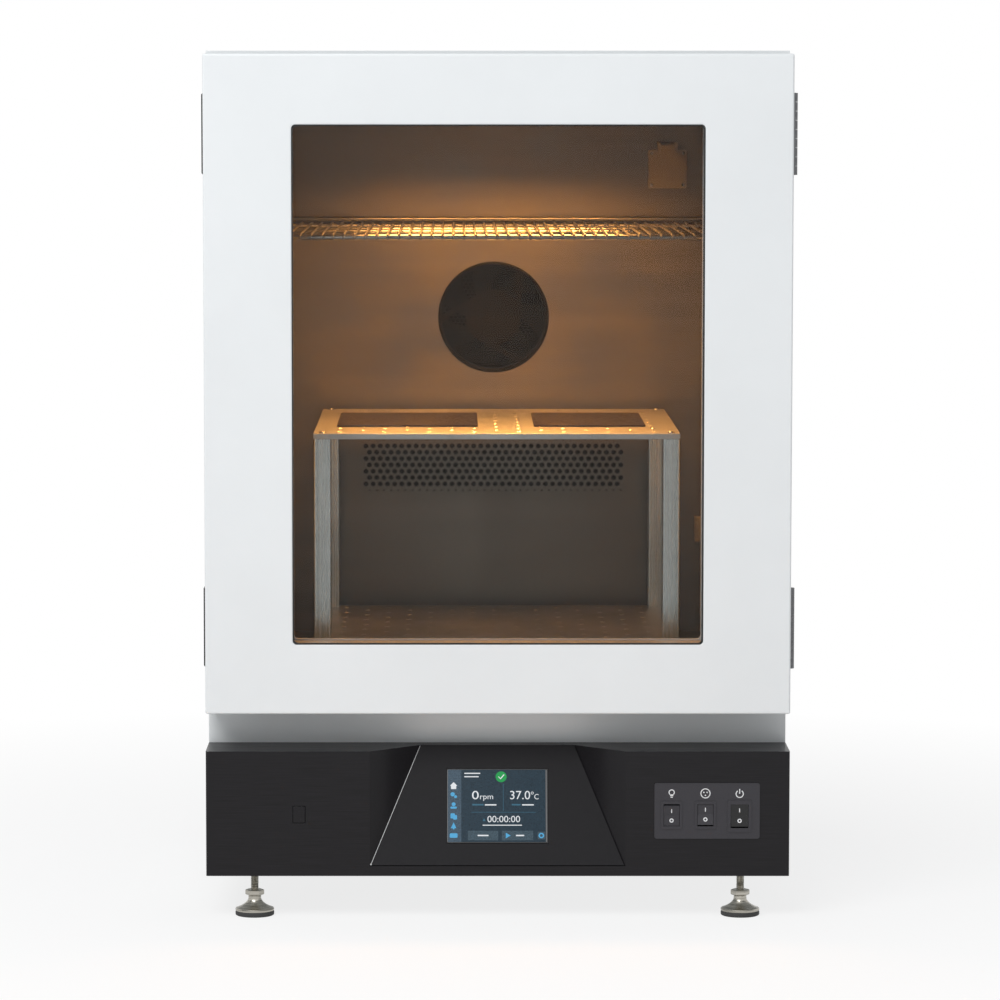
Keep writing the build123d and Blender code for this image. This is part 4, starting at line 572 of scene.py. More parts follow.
def place_piece(name, parts, material, body, stands_for=(), closed=True):
    """Makes one object of the parts, merges doubled points, turns closed shells outwards, and lets the
    object ride on its body. Flat signs keep the direction that they were drawn in."""
    points, faces = joined(parts)
    mesh = bpy.data.meshes.new(name)
    mesh.from_pydata(points.tolist(), [], [face for block in faces for face in block.tolist()])
    shell = bmesh.new()
    shell.from_mesh(mesh)
    bmesh.ops.remove_doubles(shell, verts=shell.verts, dist=1e-6)
    if closed:
        bmesh.ops.recalc_face_normals(shell, faces=shell.faces)
    shell.to_mesh(mesh)
    shell.free()
    mesh.validate()
    mesh.polygons.foreach_set("use_smooth", np.ones(len(mesh.polygons), bool))
    mesh.set_sharp_from_angle(angle=SHARP_ANGLE)
    piece = bpy.data.objects.new(name, mesh)
    bpy.context.scene.collection.objects.link(piece)
    mesh.materials.append(material)
    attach(piece, body)
    if stands_for:
        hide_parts(*stands_for)


# Flat signs
ARC_STEPS = 28


def rectangle(left, right, low, high, radius=0.0):
    """A flat rectangle with arc corners, in millimetres on its plane."""
    outline, _ = rounded_outline((right - left) / 2, (high - low) / 2, max(radius, 0.01), 4)
    return outline + np.array([(left + right) / 2, (low + high) / 2]), [np.arange(len(outline))[None, :]]


def disc(x, y, radius):
    """A flat disc."""
    cos, sin = circle(ARC_STEPS)
    return np.stack([x + radius * cos, y + radius * sin], -1), [np.arange(ARC_STEPS)[None, :]]


def arc_band(x, y, inner, outer, start=0.0, end=360.0):
    """A flat band between two radii, from one angle in degrees to another."""
    angle = np.radians(np.linspace(start, end, ARC_STEPS))
    ends = [np.stack([x + r * np.cos(angle), y + r * np.sin(angle)], -1) for r in (inner, outer)]
    first = np.arange(ARC_STEPS - 1)
    quads = np.stack([first, first + ARC_STEPS, first + ARC_STEPS + 1, first + 1], -1)
    return np.concatenate(ends), [quads]


def stroke(corners, width):
    """A flat line of even width through a few corners, drawn as one band: each corner is moved by half
    the width to both sides, across the mean direction of its two runs."""
    corners = np.asarray(corners, float)
    ahead = np.gradient(corners, axis=0)
    ahead /= np.linalg.norm(ahead, axis=1)[:, None]
    across = np.stack([-ahead[:, 1], ahead[:, 0]], -1) * width / 2
    count = len(corners)
    first = np.arange(count - 1)
    quads = np.stack([first, first + 1, first + count + 1, first + count], -1)
    return np.concatenate([corners - across, corners + across]), [quads]


def polygon(corners):
    """A flat filled shape."""
    return np.asarray(corners, float), [np.arange(len(corners))[None, :]]


def figures(text, left, low, width, height):
    """Plain figures as flat faces, fitted to a box. The text is made a mesh first and placed after."""
    curve = bpy.data.curves.new("figures", "FONT")
    curve.body = text
    carrier = bpy.data.objects.new("figures", curve)
    mesh = bpy.data.meshes.new_from_object(carrier)
    points = np.empty(len(mesh.vertices) * 3)
    mesh.vertices.foreach_get("co", points)
    flat = points.reshape(-1, 3)[:, :2]
    faces = [np.array([face.vertices[:]]) for face in mesh.polygons]
    size = np.ptp(flat, axis=0)
    flat = (flat - flat.min(0)) / size * np.array([width, height]) + np.array([left, low])
    bpy.data.objects.remove(carrier)
    bpy.data.curves.remove(curve)
    bpy.data.meshes.remove(mesh)
    return flat, faces


def on_plane(shapes, origin, right, up, lift):
    """Flat shapes in millimetres carried to a plane in space, lifted off it by a small height."""
    origin, right, up = (np.asarray(value, float) for value in (origin, right, up))
    outward = np.cross(right, up)
    parts = []
    for flat, faces in shapes:
        points = origin + MM * (flat[:, :1] * right + flat[:, 1:] * up) + outward * lift * MM
        parts.append((points, faces))
    return parts


# Stage
# Place in metres, downward pitch in degrees and focal length in millimetres, found from the photograph
CAMERA_PLACE = (-0.0545, -6.0997, 1.0095)
CAMERA_PITCH = 5.454
CAMERA_LENS = 169.87
CAMERA_SHIFT = (0.04695, 0.0398)
# The floor turns plain white between these distances from the object, in metres
FLOOR_FADE = (0.5, 1.6)
FLOOR_SHARE = (0.78, 1.0)
KEY_PLACE, KEY_TURN, KEY_SIZE = (-1.3, -3.2, 3.2), (42, -20), (2.6, 2.0)


def seen_light(tree, seen, lit):
    """Mixes two shaders: one for what the camera, a gloss or a glass sees, one for what it lights."""
    ray = add_node(tree, "LightPath")
    first = add_node(tree, "Math", {
        0: ray.outputs["Is Camera Ray"], 1: ray.outputs["Is Glossy Ray"]}, operation="MAXIMUM")
    either = add_node(tree, "Math", {
        0: first.outputs["Value"], 1: ray.outputs["Is Transmission Ray"]}, operation="MAXIMUM")
    return add_node(tree, "MixShader", {0: either.outputs["Value"], 1: lit, 2: seen}).outputs["Shader"]


def make_world(strength):
    """White where it is seen, and an even light of the given strength on the object."""
    world = bpy.data.worlds.new("studio")
    world.use_nodes = True
    tree = world.node_tree
    tree.nodes.clear()
    seen = add_node(tree, "Background", {"Color": linear("#ffffff"), "Strength": 1.0})
    lit = add_node(tree, "Background", {"Color": linear("#f4f6f8"), "Strength": strength})
    mixed = seen_light(tree, seen.outputs["Background"], lit.outputs["Background"])
    add_node(tree, "OutputWorld", {"Surface": mixed})
    bpy.context.scene.world = world


def make_floor(size):
    """A wide pale floor that keeps the object's shadow. The share of plain white in what is seen of it
    grows with the distance from the object, so it meets the background without a line."""
    half = size / 2
    mesh = bpy.data.meshes.new("floor")
    corners = [(-half, -half, 0), (half, -half, 0), (half, half, 0), (-half, half, 0)]
    mesh.from_pydata(corners, [], [(0, 1, 2, 3)])
    floor = bpy.data.objects.new("floor", mesh)
    bpy.context.scene.collection.objects.link(floor)
    material = bpy.data.materials.new("floor_paint")
    material.use_nodes = True
    tree = material.node_tree
    tree.nodes.clear()
    paint = add_node(tree, "BsdfDiffuse", {"Color": linear("#f2f2f2")})
    white = add_node(tree, "Emission", {"Color": linear("#ffffff"), "Strength": 1.0})
    place = add_node(tree, "TexCoord")
    away = add_node(tree, "VectorMath", {0: place.outputs["Object"]}, operation="LENGTH")
    share = add_node(tree, "MapRange", {
        "Value": away.outputs["Value"], "From Min": FLOOR_FADE[0], "From Max": FLOOR_FADE[1],
        "To Min": FLOOR_SHARE[0], "To Max": FLOOR_SHARE[1]})
    pale = add_node(tree, "MixShader", {
        0: share.outputs["Result"], 1: paint.outputs["BSDF"], 2: white.outputs["Emission"]})
    seen = seen_light(tree, pale.outputs["Shader"], paint.outputs["BSDF"])
    add_node(tree, "OutputMaterial", {"Surface": seen})
    mesh.materials.append(material)


def make_lamp(name, place, turn, size, power, tone):
    """A rectangular lamp that faces along its own -Z, turned by degrees about X and Z."""
    lamp = bpy.data.lights.new(name, "AREA")
    lamp.shape = "RECTANGLE"
    lamp.size, lamp.size_y = size
    lamp.energy = power
    lamp.color = tone[:3]
    holder = bpy.data.objects.new(name, lamp)
    holder.location = place
    holder.rotation_euler = (math.radians(turn[0]), 0, math.radians(turn[1]))
    bpy.context.scene.collection.objects.link(holder)
    return lamp


def make_camera():
    """The camera at the photograph's place, found from the door, the console and the window."""
    camera = bpy.data.cameras.new("camera")
    camera.lens = CAMERA_LENS
    camera.sensor_width = 36.0
    camera.shift_x, camera.shift_y = CAMERA_SHIFT
    camera.clip_end = 200.0
    holder = bpy.data.objects.new("camera", camera)
    holder.location = CAMERA_PLACE
    holder.rotation_euler = (math.radians(90 - CAMERA_PITCH), 0, 0)
    bpy.context.scene.collection.objects.link(holder)
    bpy.context.scene.camera = holder


class INCUBATOR_OT_stage(bpy.types.Operator):
    """Adds the camera, the floor, the world and the lamps"""
    bl_idname = "incubator.stage"
    bl_label = "Stage"

    def execute(self, context):
        settings = context.scene.incubator_stage
        context.scene.view_settings.view_transform = "Standard"
        make_camera()
        make_world(settings.surround)
        make_floor(settings.floor_size)
        make_lamp("key_lamp", KEY_PLACE, KEY_TURN, KEY_SIZE, settings.key_power, linear("#fafbfb"))
        return {"FINISHED"}


# Finishes of the carried-over pieces
# Radius of the rounded edges in millimetres
SOFT_EDGES = {
    "door_skin": 1.5, "console_shell": 1.2, "switch_plate": 0.5, "light_rocker": 0.4,
    "outlet_rocker": 0.4, "power_rocker": 0.4, "switch_housings": 0.3, "display_module": 0.3,
    "tier_platform": 0.4, "outlet_lid": 0.6, "port_cover": 0.6, "hinge_seat_covers": 0.8,
}
SOFT_ANGLE = math.radians(40)


def soften(piece, radius):
    """Rounds the sharp edges of a carried-over piece, after its doubled points are joined."""
    weld = piece.modifiers.new("weld", "WELD")
    weld.merge_threshold = 0.005 * MM
    bevel = piece.modifiers.new("soft_edges", "BEVEL")
    bevel.width = radius
    bevel.segments = 2
    bevel.limit_method = "ANGLE"
    bevel.angle_limit = SOFT_ANGLE
    bevel.use_clamp_overlap = True


class INCUBATOR_OT_finishes(bpy.types.Operator):
    """Gives every piece of the frame the finish of its material slot"""
    bl_idname = "incubator.finishes"
    bl_label = "Finishes"

    def execute(self, context):
        scene = context.scene
        finishes = slot_finishes(scene.incubator_cabinet, scene.incubator_chamber, scene.incubator_console)
        for row in frame["record"]["subparts"]:
            piece = frame["nodes"][row["node"]]
            piece.data.materials.clear()
            piece.data.materials.append(finishes[row["material_slot"]])
        hinge = dark_hinge()
        own = {
            "display_panel": moulded(
                "smooth_dark_abs", linear("#151417"), 0.55, (0.003, 0.0015, 0.0015), 0.00002, 0.9, 0.16),
            "tier_posts": drawn_profile(),
            "chamber_liner": lining_with_painted_duct_shade(scene.incubator_chamber.steel_colour),
            "hinge_cabinet_leaves": hinge,
            "hinge_door_leaves": hinge,
            "fan_frame": moulded(
                "fan_frame_nylon", linear("#2b2623"), 0.55, (0.003, 0.003, 0.003), gloss=0.2),
        }
        for name, material in own.items():
            frame["nodes"][name].data.materials[0] = material
        for name, radius in SOFT_EDGES.items():
            soften(frame["nodes"][name], radius * MM)
        return {"FINISHED"}


# Chamber pieces
# Where the shelf's bearers lie between its front and its back, their thickness as a share of the rim's,
# and how far above the rim's middle the wires are welded on, as a share of their radius
BEARER_PLACES = (0.2, 0.4, 0.6, 0.8)
BEARER_SHARE = 0.75
WELD_SHARE = 0.6
# The impeller: blades, their pitch in degrees at root and tip, how far they sweep round in radians, and
# the hub's radius and its profile of radius and height in millimetres
BLADES = 7
BLADE_PITCH = (58, 34)
BLADE_SWEEP = 0.35
HUB_RADIUS = 34.0
HUB_PROFILE = (
    (0.0, 2.0), (14.0, 2.0), (15.0, 0.5), (30.0, 0.5), (33.0, 1.6), (34.0, 4.0), (34.0, 21.5), (0.0, 21.5))
# The ends of the left and the right mat that face each other, in millimetres from the middle
MAT_GAP = (-23.0, 48.0)


def shelf_wire_path(x, front, back, top, rim, radius):
    """A straight run over the rims that turns down round the front rim, a little past upright."""
    bend = np.radians(np.linspace(0, 100, 6))
    reach = rim + radius
    nose = np.stack([
        np.full(6, x), front - reach * np.sin(bend), top - radius - rim + reach * np.cos(bend)], -1)
    return np.vstack([[x, back, top], [x, (front + back) / 2, top], nose])


class INCUBATOR_OT_shelf(bpy.types.Operator):
    """Adds the welded wire shelf"""
    bl_idname = "incubator.shelf"
    bl_label = "Wire shelf"

    def execute(self, context):
        settings = context.scene.incubator_chamber
        rim, wire = settings.rim_radius, settings.wire_radius
        low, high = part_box("wire_shelf")
        left, right, front, back = low.x + rim, high.x - rim, low.y + rim, high.y - rim
        middle, guard = low.z + rim, high.z - rim
        outline, _ = rounded_outline((right - left) / 2, (back - front) / 2, 4 * rim)
        centre = np.array([(left + right) / 2, (front + back) / 2])
        loop = np.column_stack([outline + centre, np.full(len(outline), middle)])
        parts = [round_wire(loop, rim, (0, 0, 1), 12, closed=True)]
        rise = np.radians(np.linspace(0, 90, 5))
        turn = 2 * rim
        climb = np.stack([turn * (1 - np.sin(rise)), guard - turn * (1 - np.cos(rise[::-1])) + 0 * rise], -1)
        left_bend = np.column_stack([left + climb[:, 0], np.full(5, back), climb[:, 1]])
        right_bend = np.column_stack([right - climb[:, 0], np.full(5, back), climb[:, 1]])[::-1]
        arch = np.vstack([[left, back, middle], left_bend, right_bend, [right, back, middle]])
        parts.append(round_wire(arch, rim, (0, 1, 0), 12))
        bearer_z = middle - rim + wire
        for share in BEARER_PLACES:
            y = front + (back - front) * share
            bearer = [[left, y, bearer_z], [right, y, bearer_z]]
            parts.append(round_wire(bearer, rim * BEARER_SHARE, (0, 0, 1), 8))
        count = int((right - left) / settings.wire_pitch)
        places = (np.arange(count) - (count - 1) / 2) * settings.wire_pitch
        top = middle + rim + wire * WELD_SHARE
        run = round_wire(shelf_wire_path(0.0, front, back, top, rim, wire), wire, (1, 0, 0), 6)
        parts.append(copies(run, np.stack([places, 0 * places, 0 * places], -1)))
        material = rolled_steel("polished_steel_wire", linear("#97938c"), 0.3, (0.05, 0.05, 0.002))
        place_piece("wire_shelf_bent", parts, material, "shelf", ["wire_shelf"])
        return {"FINISHED"}


def honeycomb(centre, radius, pitch, web, depth):
    """A guard with six-sided holes. Cell centres lie in rows, pitch apart, each second row moved by half
    a pitch; a cell is a hexagon with its corners at the pitch over the root of three, and its hole
    has the same corners drawn in by the web. Cells inside the radius are kept, and where a cell
    has no neighbour its outer side is closed by a wall."""
    rows = int(radius / (pitch * math.sin(math.pi / 3))) + 1
    index = np.arange(-rows, rows + 1)
    row, column = np.meshgrid(index, index, indexing="ij")
    x = (column + 0.5 * (row % 2)) * pitch
    z = row * pitch * math.sin(math.pi / 3)
    inside = np.hypot(x, z) < radius - pitch / 2
    middles = np.stack([x[inside], z[inside]], -1)
    cos, sin = circle(6, math.radians(30))
    corners = np.stack([cos, sin], -1)
    outer = middles[:, None, :] + corners * pitch / math.sqrt(3)
    inner = middles[:, None, :] + corners * (pitch - web) / math.sqrt(3)
    layers = [(outer, 0.0), (inner, 0.0), (inner, depth), (outer, depth)]
    points = np.stack([np.insert(flat, 1, deep, axis=-1) for flat, deep in layers], 1)
    per_cell, back_row = 4 * 6, 3 * 6
    starts = np.arange(len(middles))[:, None, None] * per_cell
    faces = (ring_faces(4, 6)[None] + starts).reshape(-1, 4)
    toward = np.radians(60 * np.arange(1, 7))
    beyond = middles[:, None, :] + pitch * np.stack([np.cos(toward), np.sin(toward)], -1)
    open_sides = np.hypot(beyond[..., 0], beyond[..., 1]) >= radius - pitch / 2
    cells, sides = np.nonzero(open_sides)
    first, after = cells * per_cell + sides, cells * per_cell + (sides + 1) % 6
    walls = np.stack([first, after, after + back_row, first + back_row], -1)
    return points.reshape(-1, 3) + np.asarray(centre, float), [faces, walls]


class INCUBATOR_OT_fan_guard(bpy.types.Operator):
    """Adds the fan's honeycomb guard with its pressed rim"""
    bl_idname = "incubator.fan_guard"
    bl_label = "Fan guard"

    def execute(self, context):
        settings = context.scene.incubator_chamber
        low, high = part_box("fan_grille")
        outer = (high.x - low.x) / 2
        middle = (low.z + high.z) / 2
        depth = high.y - low.y
        rim = 5 * MM
        inner = outer - rim
        mesh = honeycomb((0, low.y + 0.3 * depth, middle), outer - rim / 2, settings.grille_pitch,
                         settings.grille_web, 0.5 * depth)
        profile = [(inner, 0.2 * depth), (inner + MM, 0.0), (outer - MM, 0.0), (outer, 0.4 * depth),
                   (outer, depth), (inner, depth), (inner, 0.2 * depth)]
        band, faces = turned(profile, 96, "y", (0, low.y, middle))
        parts = [mesh, (band, faces[:1])]
        material = moulded("black_guard_coating", linear("#131315"), 0.5, (0.002, 0.002, 0.002), gloss=0.15)
        place_piece("fan_guard_mesh", parts, material, "cabinet", ["fan_grille"])
        return {"FINISHED"}


def fan_blade(root, tip, depth, start):
    """One blade. Along the blade the radius goes from root to tip and the pitch angle falls from the
    root's to the tip's; round its section the chord place is half a cosine and the thickness a sine
    that is larger at the front, on a camber line whose height is one less the square of the chord
    place. The section is wrapped on its radius by dividing the tangential place by it."""
    share = np.linspace(0, 1, 9)[:, None]
    loop = np.linspace(0, 2 * np.pi, 20, endpoint=False)[None, :]
    radius = root + (tip - root) * share
    pitch = np.radians(BLADE_PITCH[0] + (BLADE_PITCH[1] - BLADE_PITCH[0]) * share)
    chord = 0.86 * depth / np.sin(np.radians(BLADE_PITCH[0]))
    along = chord * 0.5 * np.cos(loop)
    thick = 0.9 * MM * np.sin(loop) * (1.2 + 0.5 * np.cos(loop))
    lifted = thick + 2.5 * MM * (1 - np.cos(loop) ** 2)
    tangential = along * np.cos(pitch) - lifted * np.sin(pitch)
    axial = along * np.sin(pitch) + lifted * np.cos(pitch)
    angle = start + tangential / radius + BLADE_SWEEP * share
    points = np.stack([radius * np.sin(angle), axial, radius * np.cos(angle)], -1)
    return rings_part(points)


class INCUBATOR_OT_impeller(bpy.types.Operator):
    """Adds the fan's impeller with twisted blades"""
    bl_idname = "incubator.impeller"
    bl_label = "Impeller"

    def execute(self, context):
        low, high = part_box("fan_impeller")
        depth = high.y - low.y
        middle = (low.y + high.y) / 2
        x, _, z = JOINT_PLACE["fan_spin"]
        root, tip = (HUB_RADIUS - 1) * MM, (high.x - low.x) / 2
        parts = []
        for index in range(BLADES):
            points, faces = fan_blade(root, tip, depth, 2 * math.pi / BLADES * index)
            parts.append((points + np.array([x, middle, z]), faces))
        parts.append(turned(np.array(HUB_PROFILE) * MM, 64, "y", (x, low.y, z)))
        place_piece("impeller_twisted", parts, finish("glass_filled_nylon"), "fan_rotor",
                    ["fan_impeller"])
        return {"FINISHED"}


class INCUBATOR_OT_mats(bpy.types.Operator):
    """Adds the two tacky mats on the upper platform"""
    bl_idname = "incubator.mats"
    bl_label = "Grip mats"

    def execute(self, context):
        settings = context.scene.incubator_chamber
        low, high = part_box("sticky_mats")
        depth = high.z - low.z
        edge = [(0.5 * MM, 0.0), (0.0, 0.3 * depth), (0.0, 0.7 * depth), (0.4 * MM, 0.93 * depth),
                (1.2 * MM, depth)]
        parts = []
        for left, right in ((low.x, MAT_GAP[0] * MM), (MAT_GAP[1] * MM, high.x)):
            outline, outward = rounded_outline((right - left) / 2, (high.y - low.y) / 2, settings.mat_corner)
            parts.append(slab(outline, outward, edge, ((left + right) / 2, (low.y + high.y) / 2, low.z)))
        place_piece("grip_mats_rounded", parts, finish("tacky_gel"), "platform", ["sticky_mats"])
        return {"FINISHED"}


def clamp_hole_places(platform, settings):
    """Centres of a platform's clamp holes: columns of even pitch, every second one shifted half a pitch."""
    low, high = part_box(platform)
    pitch = settings.hole_pitch
    room = high.x - low.x - 2 * settings.hole_margin
    columns, rows = int(room / pitch) + 1, int(room / (2 * pitch)) + 1
    column, row = np.meshgrid(np.arange(columns), np.arange(rows))
    x = (column - (columns - 1) / 2) * pitch
    y = (row - (rows - 1) / 2) * 2 * pitch + np.where(column % 2, pitch, 0.0)
    inside = np.abs(y) <= room / 2 + 0.01 * MM
    return np.stack([x[inside], (low.y + high.y) / 2 + y[inside], np.full(inside.sum(), high.z)], -1)


class INCUBATOR_OT_clamp_holes(bpy.types.Operator):
    """Adds the bright countersinks of the clamp holes in both platforms"""
    bl_idname = "incubator.clamp_holes"
    bl_label = "Clamp holes"

    def execute(self, context):
        settings = context.scene.incubator_chamber
        bore, edge = settings.hole_radius, settings.hole_radius + 1.3 * MM
        profile = [(bore, -1.2 * MM), (edge - 0.3 * MM, 0.0), (edge, 0.25 * MM), (edge + 0.4 * MM, 0.0),
                   (edge, -0.4 * MM), (bore + 0.2 * MM, -1.4 * MM), (bore, -1.2 * MM)]
        points, faces = turned(profile, 14)
        places = [clamp_hole_places(name, settings) for name in ("lower_platform", "tier_platform")]
        rings = [copies((points, faces[:1]), spots) for spots in places]
        place_piece("clamp_hole_rims", rings, machined_rim(), "platform")
        return {"FINISHED"}


# The chamber's light: how far it lies from the lamp towards the window, its size as a multiple of the
# lens's radius, and its spread. It stands for the light that the lining throws back
LIGHT_FORWARD = 0.42
LIGHT_SIZE = (10, 4)
LIGHT_SPREAD = math.radians(150)


class INCUBATOR_OT_lamp(bpy.types.Operator):
    """Adds the chamber lamp with its ribbed lens, and the light it gives"""
    bl_idname = "incubator.lamp"
    bl_label = "Chamber lamp"

    def execute(self, context):
        settings = context.scene.incubator_chamber
        low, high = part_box("chamber_lamp")
        x, y = (low.x + high.x) / 2, (low.y + high.y) / 2
        outer, drop = (high.x - low.x) / 2, high.z - low.z
        bezel, ribs = 6 * MM, 8
        rim = [(outer - bezel, 0.0), (outer - bezel, -3.4 * MM), (outer - 1.5 * MM, -4 * MM),
               (outer, -3 * MM), (outer, 0.0)]
        place_piece("lamp_rim", [turned(rim, 72, "z", (x, y, high.z))], finish("rolled_stainless"), "cabinet")
        flat = outer - 7 * MM
        rib = np.linspace(0, 1, 7 * ribs + 1)
        face = np.column_stack([flat * rib, -drop + 0.5 * MM * (1 - np.cos(2 * np.pi * ribs * rib))])
        side = np.radians(np.linspace(20, 90, 6))
        shoulder = np.column_stack([
            flat + 1.2 * MM * (1 - np.cos(side)), -drop + 0.5 * MM + (drop - 3 * MM) * (1 - np.cos(side))])
        profile = np.vstack([face, shoulder, [[flat + 1.2 * MM, 0.0], [0.0, 0.0]]])
        place_piece("lamp_lens_ribbed", [turned(profile, 72, "z", (x, y, high.z))], finish("opal_lamp_lens"),
                    "cabinet", ["chamber_lamp"])
        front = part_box("chamber_liner")[0].y
        place = (x, LIGHT_FORWARD * front + (1 - LIGHT_FORWARD) * y, low.z - 12 * MM)
        size = (LIGHT_SIZE[0] * flat, LIGHT_SIZE[1] * flat)
        light = make_lamp("chamber_light", place, (0, 0), size, settings.lamp_power, settings.lamp_colour)
        light.spread = LIGHT_SPREAD
        return {"FINISHED"}


# Screws
def screw_head(radius, height, axis="z", facing=1.0):
    """A pan head with a hexagonal socket: a low dome, its rim rounded, turned in ten steps."""
    profile = np.array([
        (0.0, 0.35), (0.42, 0.35), (0.45, 1.0), (0.62, 0.98), (0.86, 0.75), (1.0, 0.3), (1.0, 0.0),
        (0.0, 0.0)])
    return turned(profile * np.array([radius, facing * height]), 10, axis)


class INCUBATOR_OT_screws(bpy.types.Operator):
    """Adds the screws of the rear sheet, the duct panel, the outlet and the tier posts"""
    bl_idname = "incubator.screws"
    bl_label = "Screws"

    def execute(self, context):
        settings = context.scene.incubator_cabinet
        radius, height = settings.screw_radius, settings.screw_height
        low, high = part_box("rear_panel")
        inset = 12 * MM
        sides = (low.x + inset, high.x - inset)
        rows = np.linspace(low.z + inset, high.z - inset, 6)
        columns = np.linspace(*sides, 5)[1:-1]
        edges = [(x, high.y, z) for x in sides for z in rows]
        edges += [(x, high.y, z) for z in (rows[0], rows[-1]) for x in columns]
        rear = copies(screw_head(radius, height, "y"), edges)
        low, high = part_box("duct_panel")
        rows = np.linspace(low.z + 45 * MM, high.z - inset, 5)
        walls = [(x, low.y, z) for x in (low.x + inset, high.x - inset) for z in rows]
        duct = copies(screw_head(radius, height, "y", -1.0), walls)
        place_piece("panel_screws", [rear, duct], finish("zinc_plated_steel"), "cabinet")
        low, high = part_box("outlet_plate")
        half = (high.x - low.x) / 2 - 4.5 * MM
        middle_x, face = (low.x + high.x) / 2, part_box("duct_panel")[0].y - 10 * MM
        middle_z = low.z + (high.x - low.x) / 2
        corners = [(middle_x + a * half, face, middle_z + b * half) for a in (-1, 1) for b in (-1, 1)]
        small = screw_head(2.4 * MM, 1.2 * MM, "y", -1.0)
        place_piece("outlet_screws", [copies(small, corners)], finish("zinc_plated_steel"), "cabinet")
        low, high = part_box("tier_posts")
        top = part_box("tier_platform")[1].z
        inset = 11 * MM
        posts = [
            (x, y, top) for x in (low.x + inset, high.x - inset) for y in (low.y + inset, high.y - inset)]
        large = screw_head(4.5 * MM, 2.2 * MM)
        place_piece("tier_screws", [copies(large, posts)], finish("zinc_plated_steel"), "platform")
        return {"FINISHED"}


# Door seal and drive belt
class INCUBATOR_OT_seal(bpy.types.Operator):
    """Adds the magnetic door seal with its bellows"""
    bl_idname = "incubator.seal"
    bl_label = "Door seal"

    def execute(self, context):
        low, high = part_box("door_seal")
        width, depth = 16 * MM, high.y - low.y
        profile = np.array([
            (0.0, 0.0), (-1.0, 0.0), (-1.0, 0.18), (-0.78, 0.25), (-0.78, 0.36), (-0.97, 0.46), (-1.0, 0.58),
            (-1.0, 0.9), (-0.93, 1.0), (-0.07, 1.0), (0.0, 0.9), (0.0, 0.58), (-0.03, 0.46), (-0.22, 0.36),
            (-0.22, 0.25), (0.0, 0.18)])
        corner = context.scene.incubator_cabinet.seal_corner
        outline, outward = rounded_outline((high.x - low.x) / 2, (high.z - low.z) / 2, width + corner)
        centre = ((low.x + high.x) / 2, low.y, (low.z + high.z) / 2)
        part = swept(outline, outward, profile * np.array([width, depth]), (0, 2), 1, centre)
        place_piece("door_seal_bellows", [part], finish("grey_soft_vinyl"), "door",
                    ["door_seal"])
        return {"FINISHED"}


class INCUBATOR_OT_belt(bpy.types.Operator):
    """Adds the ribbed drive belt round the two pulleys"""
    bl_idname = "incubator.belt"
    bl_label = "Drive belt"

    def execute(self, context):
        low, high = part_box("drive_belt")
        main, motor = JOINT_PLACE["main_spin"], JOINT_PLACE["motor_spin"]
        large = main[0] - low.x
        small = high.x - motor[0]
        lean = math.acos((large - small) / (motor[0] - main[0]))
        steps, ribs, rib_depth, belt_depth = (60, 24), 6, 1.1 * MM, 2.5 * MM
        angle = np.concatenate([
            np.linspace(lean, 2 * math.pi - lean, steps[0]), np.linspace(-lean, lean, steps[1])])
        outward = np.stack([np.cos(angle), np.sin(angle)], -1)
        radius = np.repeat([large, small], steps)
        centre_x = np.repeat([main[0], motor[0]], steps)
        outline = outward * radius[:, None] + np.stack([centre_x, np.full(sum(steps), main[1])], -1)
        width = high.z - low.z
        step = np.arange(2 * ribs + 1)
        teeth = np.column_stack([rib_depth * (step % 2) - belt_depth, width * step / (2 * ribs)])
        profile = np.vstack([[[0.0, 0.0]], teeth, [[0.0, width]]])
        part = swept(outline, outward, profile, (0, 1), 2, (0, 0, low.z))
        place_piece("drive_belt_ribbed", [part], finish("black_rubber"), "cabinet",
                    ["drive_belt"])
        return {"FINISHED"}


# Levelling feet
def threaded_stud(radius, low, high, pitch, depth):
    """A thread as one surface of angle and height: the radius falls by the thread's depth times a
    triangle wave of the height over the pitch less the angle over a full turn."""
    rows = int((high - low) / pitch * 6)
    height = np.linspace(low, high, rows)[:, None]
    angle = np.linspace(0, 2 * np.pi, 18, endpoint=False)[None, :]
    phase = (height / pitch - angle / (2 * np.pi)) % 1.0
    size = radius - depth * np.abs(2 * phase - 1)
    points = np.stack([size * np.cos(angle), size * np.sin(angle), height + 0 * angle], -1)
    return rings_part(points)


def foot_parts(settings):
    """Turned bell, hexagon, threaded stud and rubber pad of one foot, at the origin. The profiles are
    pairs of radius and height in millimetres; the bell's cone narrows with the power 2.1."""
    pad_top, plate, neck, hexagon_low, hexagon_high = 6.0, 23.8, 7.8, 24.9, 31.8
    across_flats, stud_radius, stud_top = 20.0, 5.0, 87.0
    share = np.linspace(0, 1, 12)
    cone = np.column_stack([neck + (plate - 2.5 - neck) * (1 - share) ** 2.1, 9.5 + 12.5 * share])
    flange = [(0.0, pad_top), (plate - 0.4, pad_top), (plate, pad_top + 0.6), (plate, pad_top + 2.2),
              (plate - 0.8, pad_top + 3.1)]
    bell = np.vstack([flange, cone, [(neck, 24.0), (neck - 0.6, hexagon_low), (0.0, hexagon_low)]])
    corner = across_flats / math.sqrt(3)
    nut = [(0.0, hexagon_low), (corner - 1.4, hexagon_low), (corner, hexagon_low + 0.9),
           (corner, hexagon_high - 0.9), (corner - 1.4, hexagon_high), (0.0, hexagon_high)]
    stud = threaded_stud(stud_radius * MM, (hexagon_high - 1) * MM, stud_top * MM, settings.thread_pitch,
                         settings.thread_depth)
    metal = [turned(bell * MM, 48), turned(np.array(nut) * MM, 6), stud]
    edge = [(0.0, 0.0), (plate - 1.6, 0.0), (plate - 0.4, 0.7), (plate, 1.8), (plate, 4.4),
            (plate - 0.5, 5.1), (plate - 0.5, pad_top), (0.0, pad_top)]
    return metal, [turned(np.array(edge) * MM, 48)]


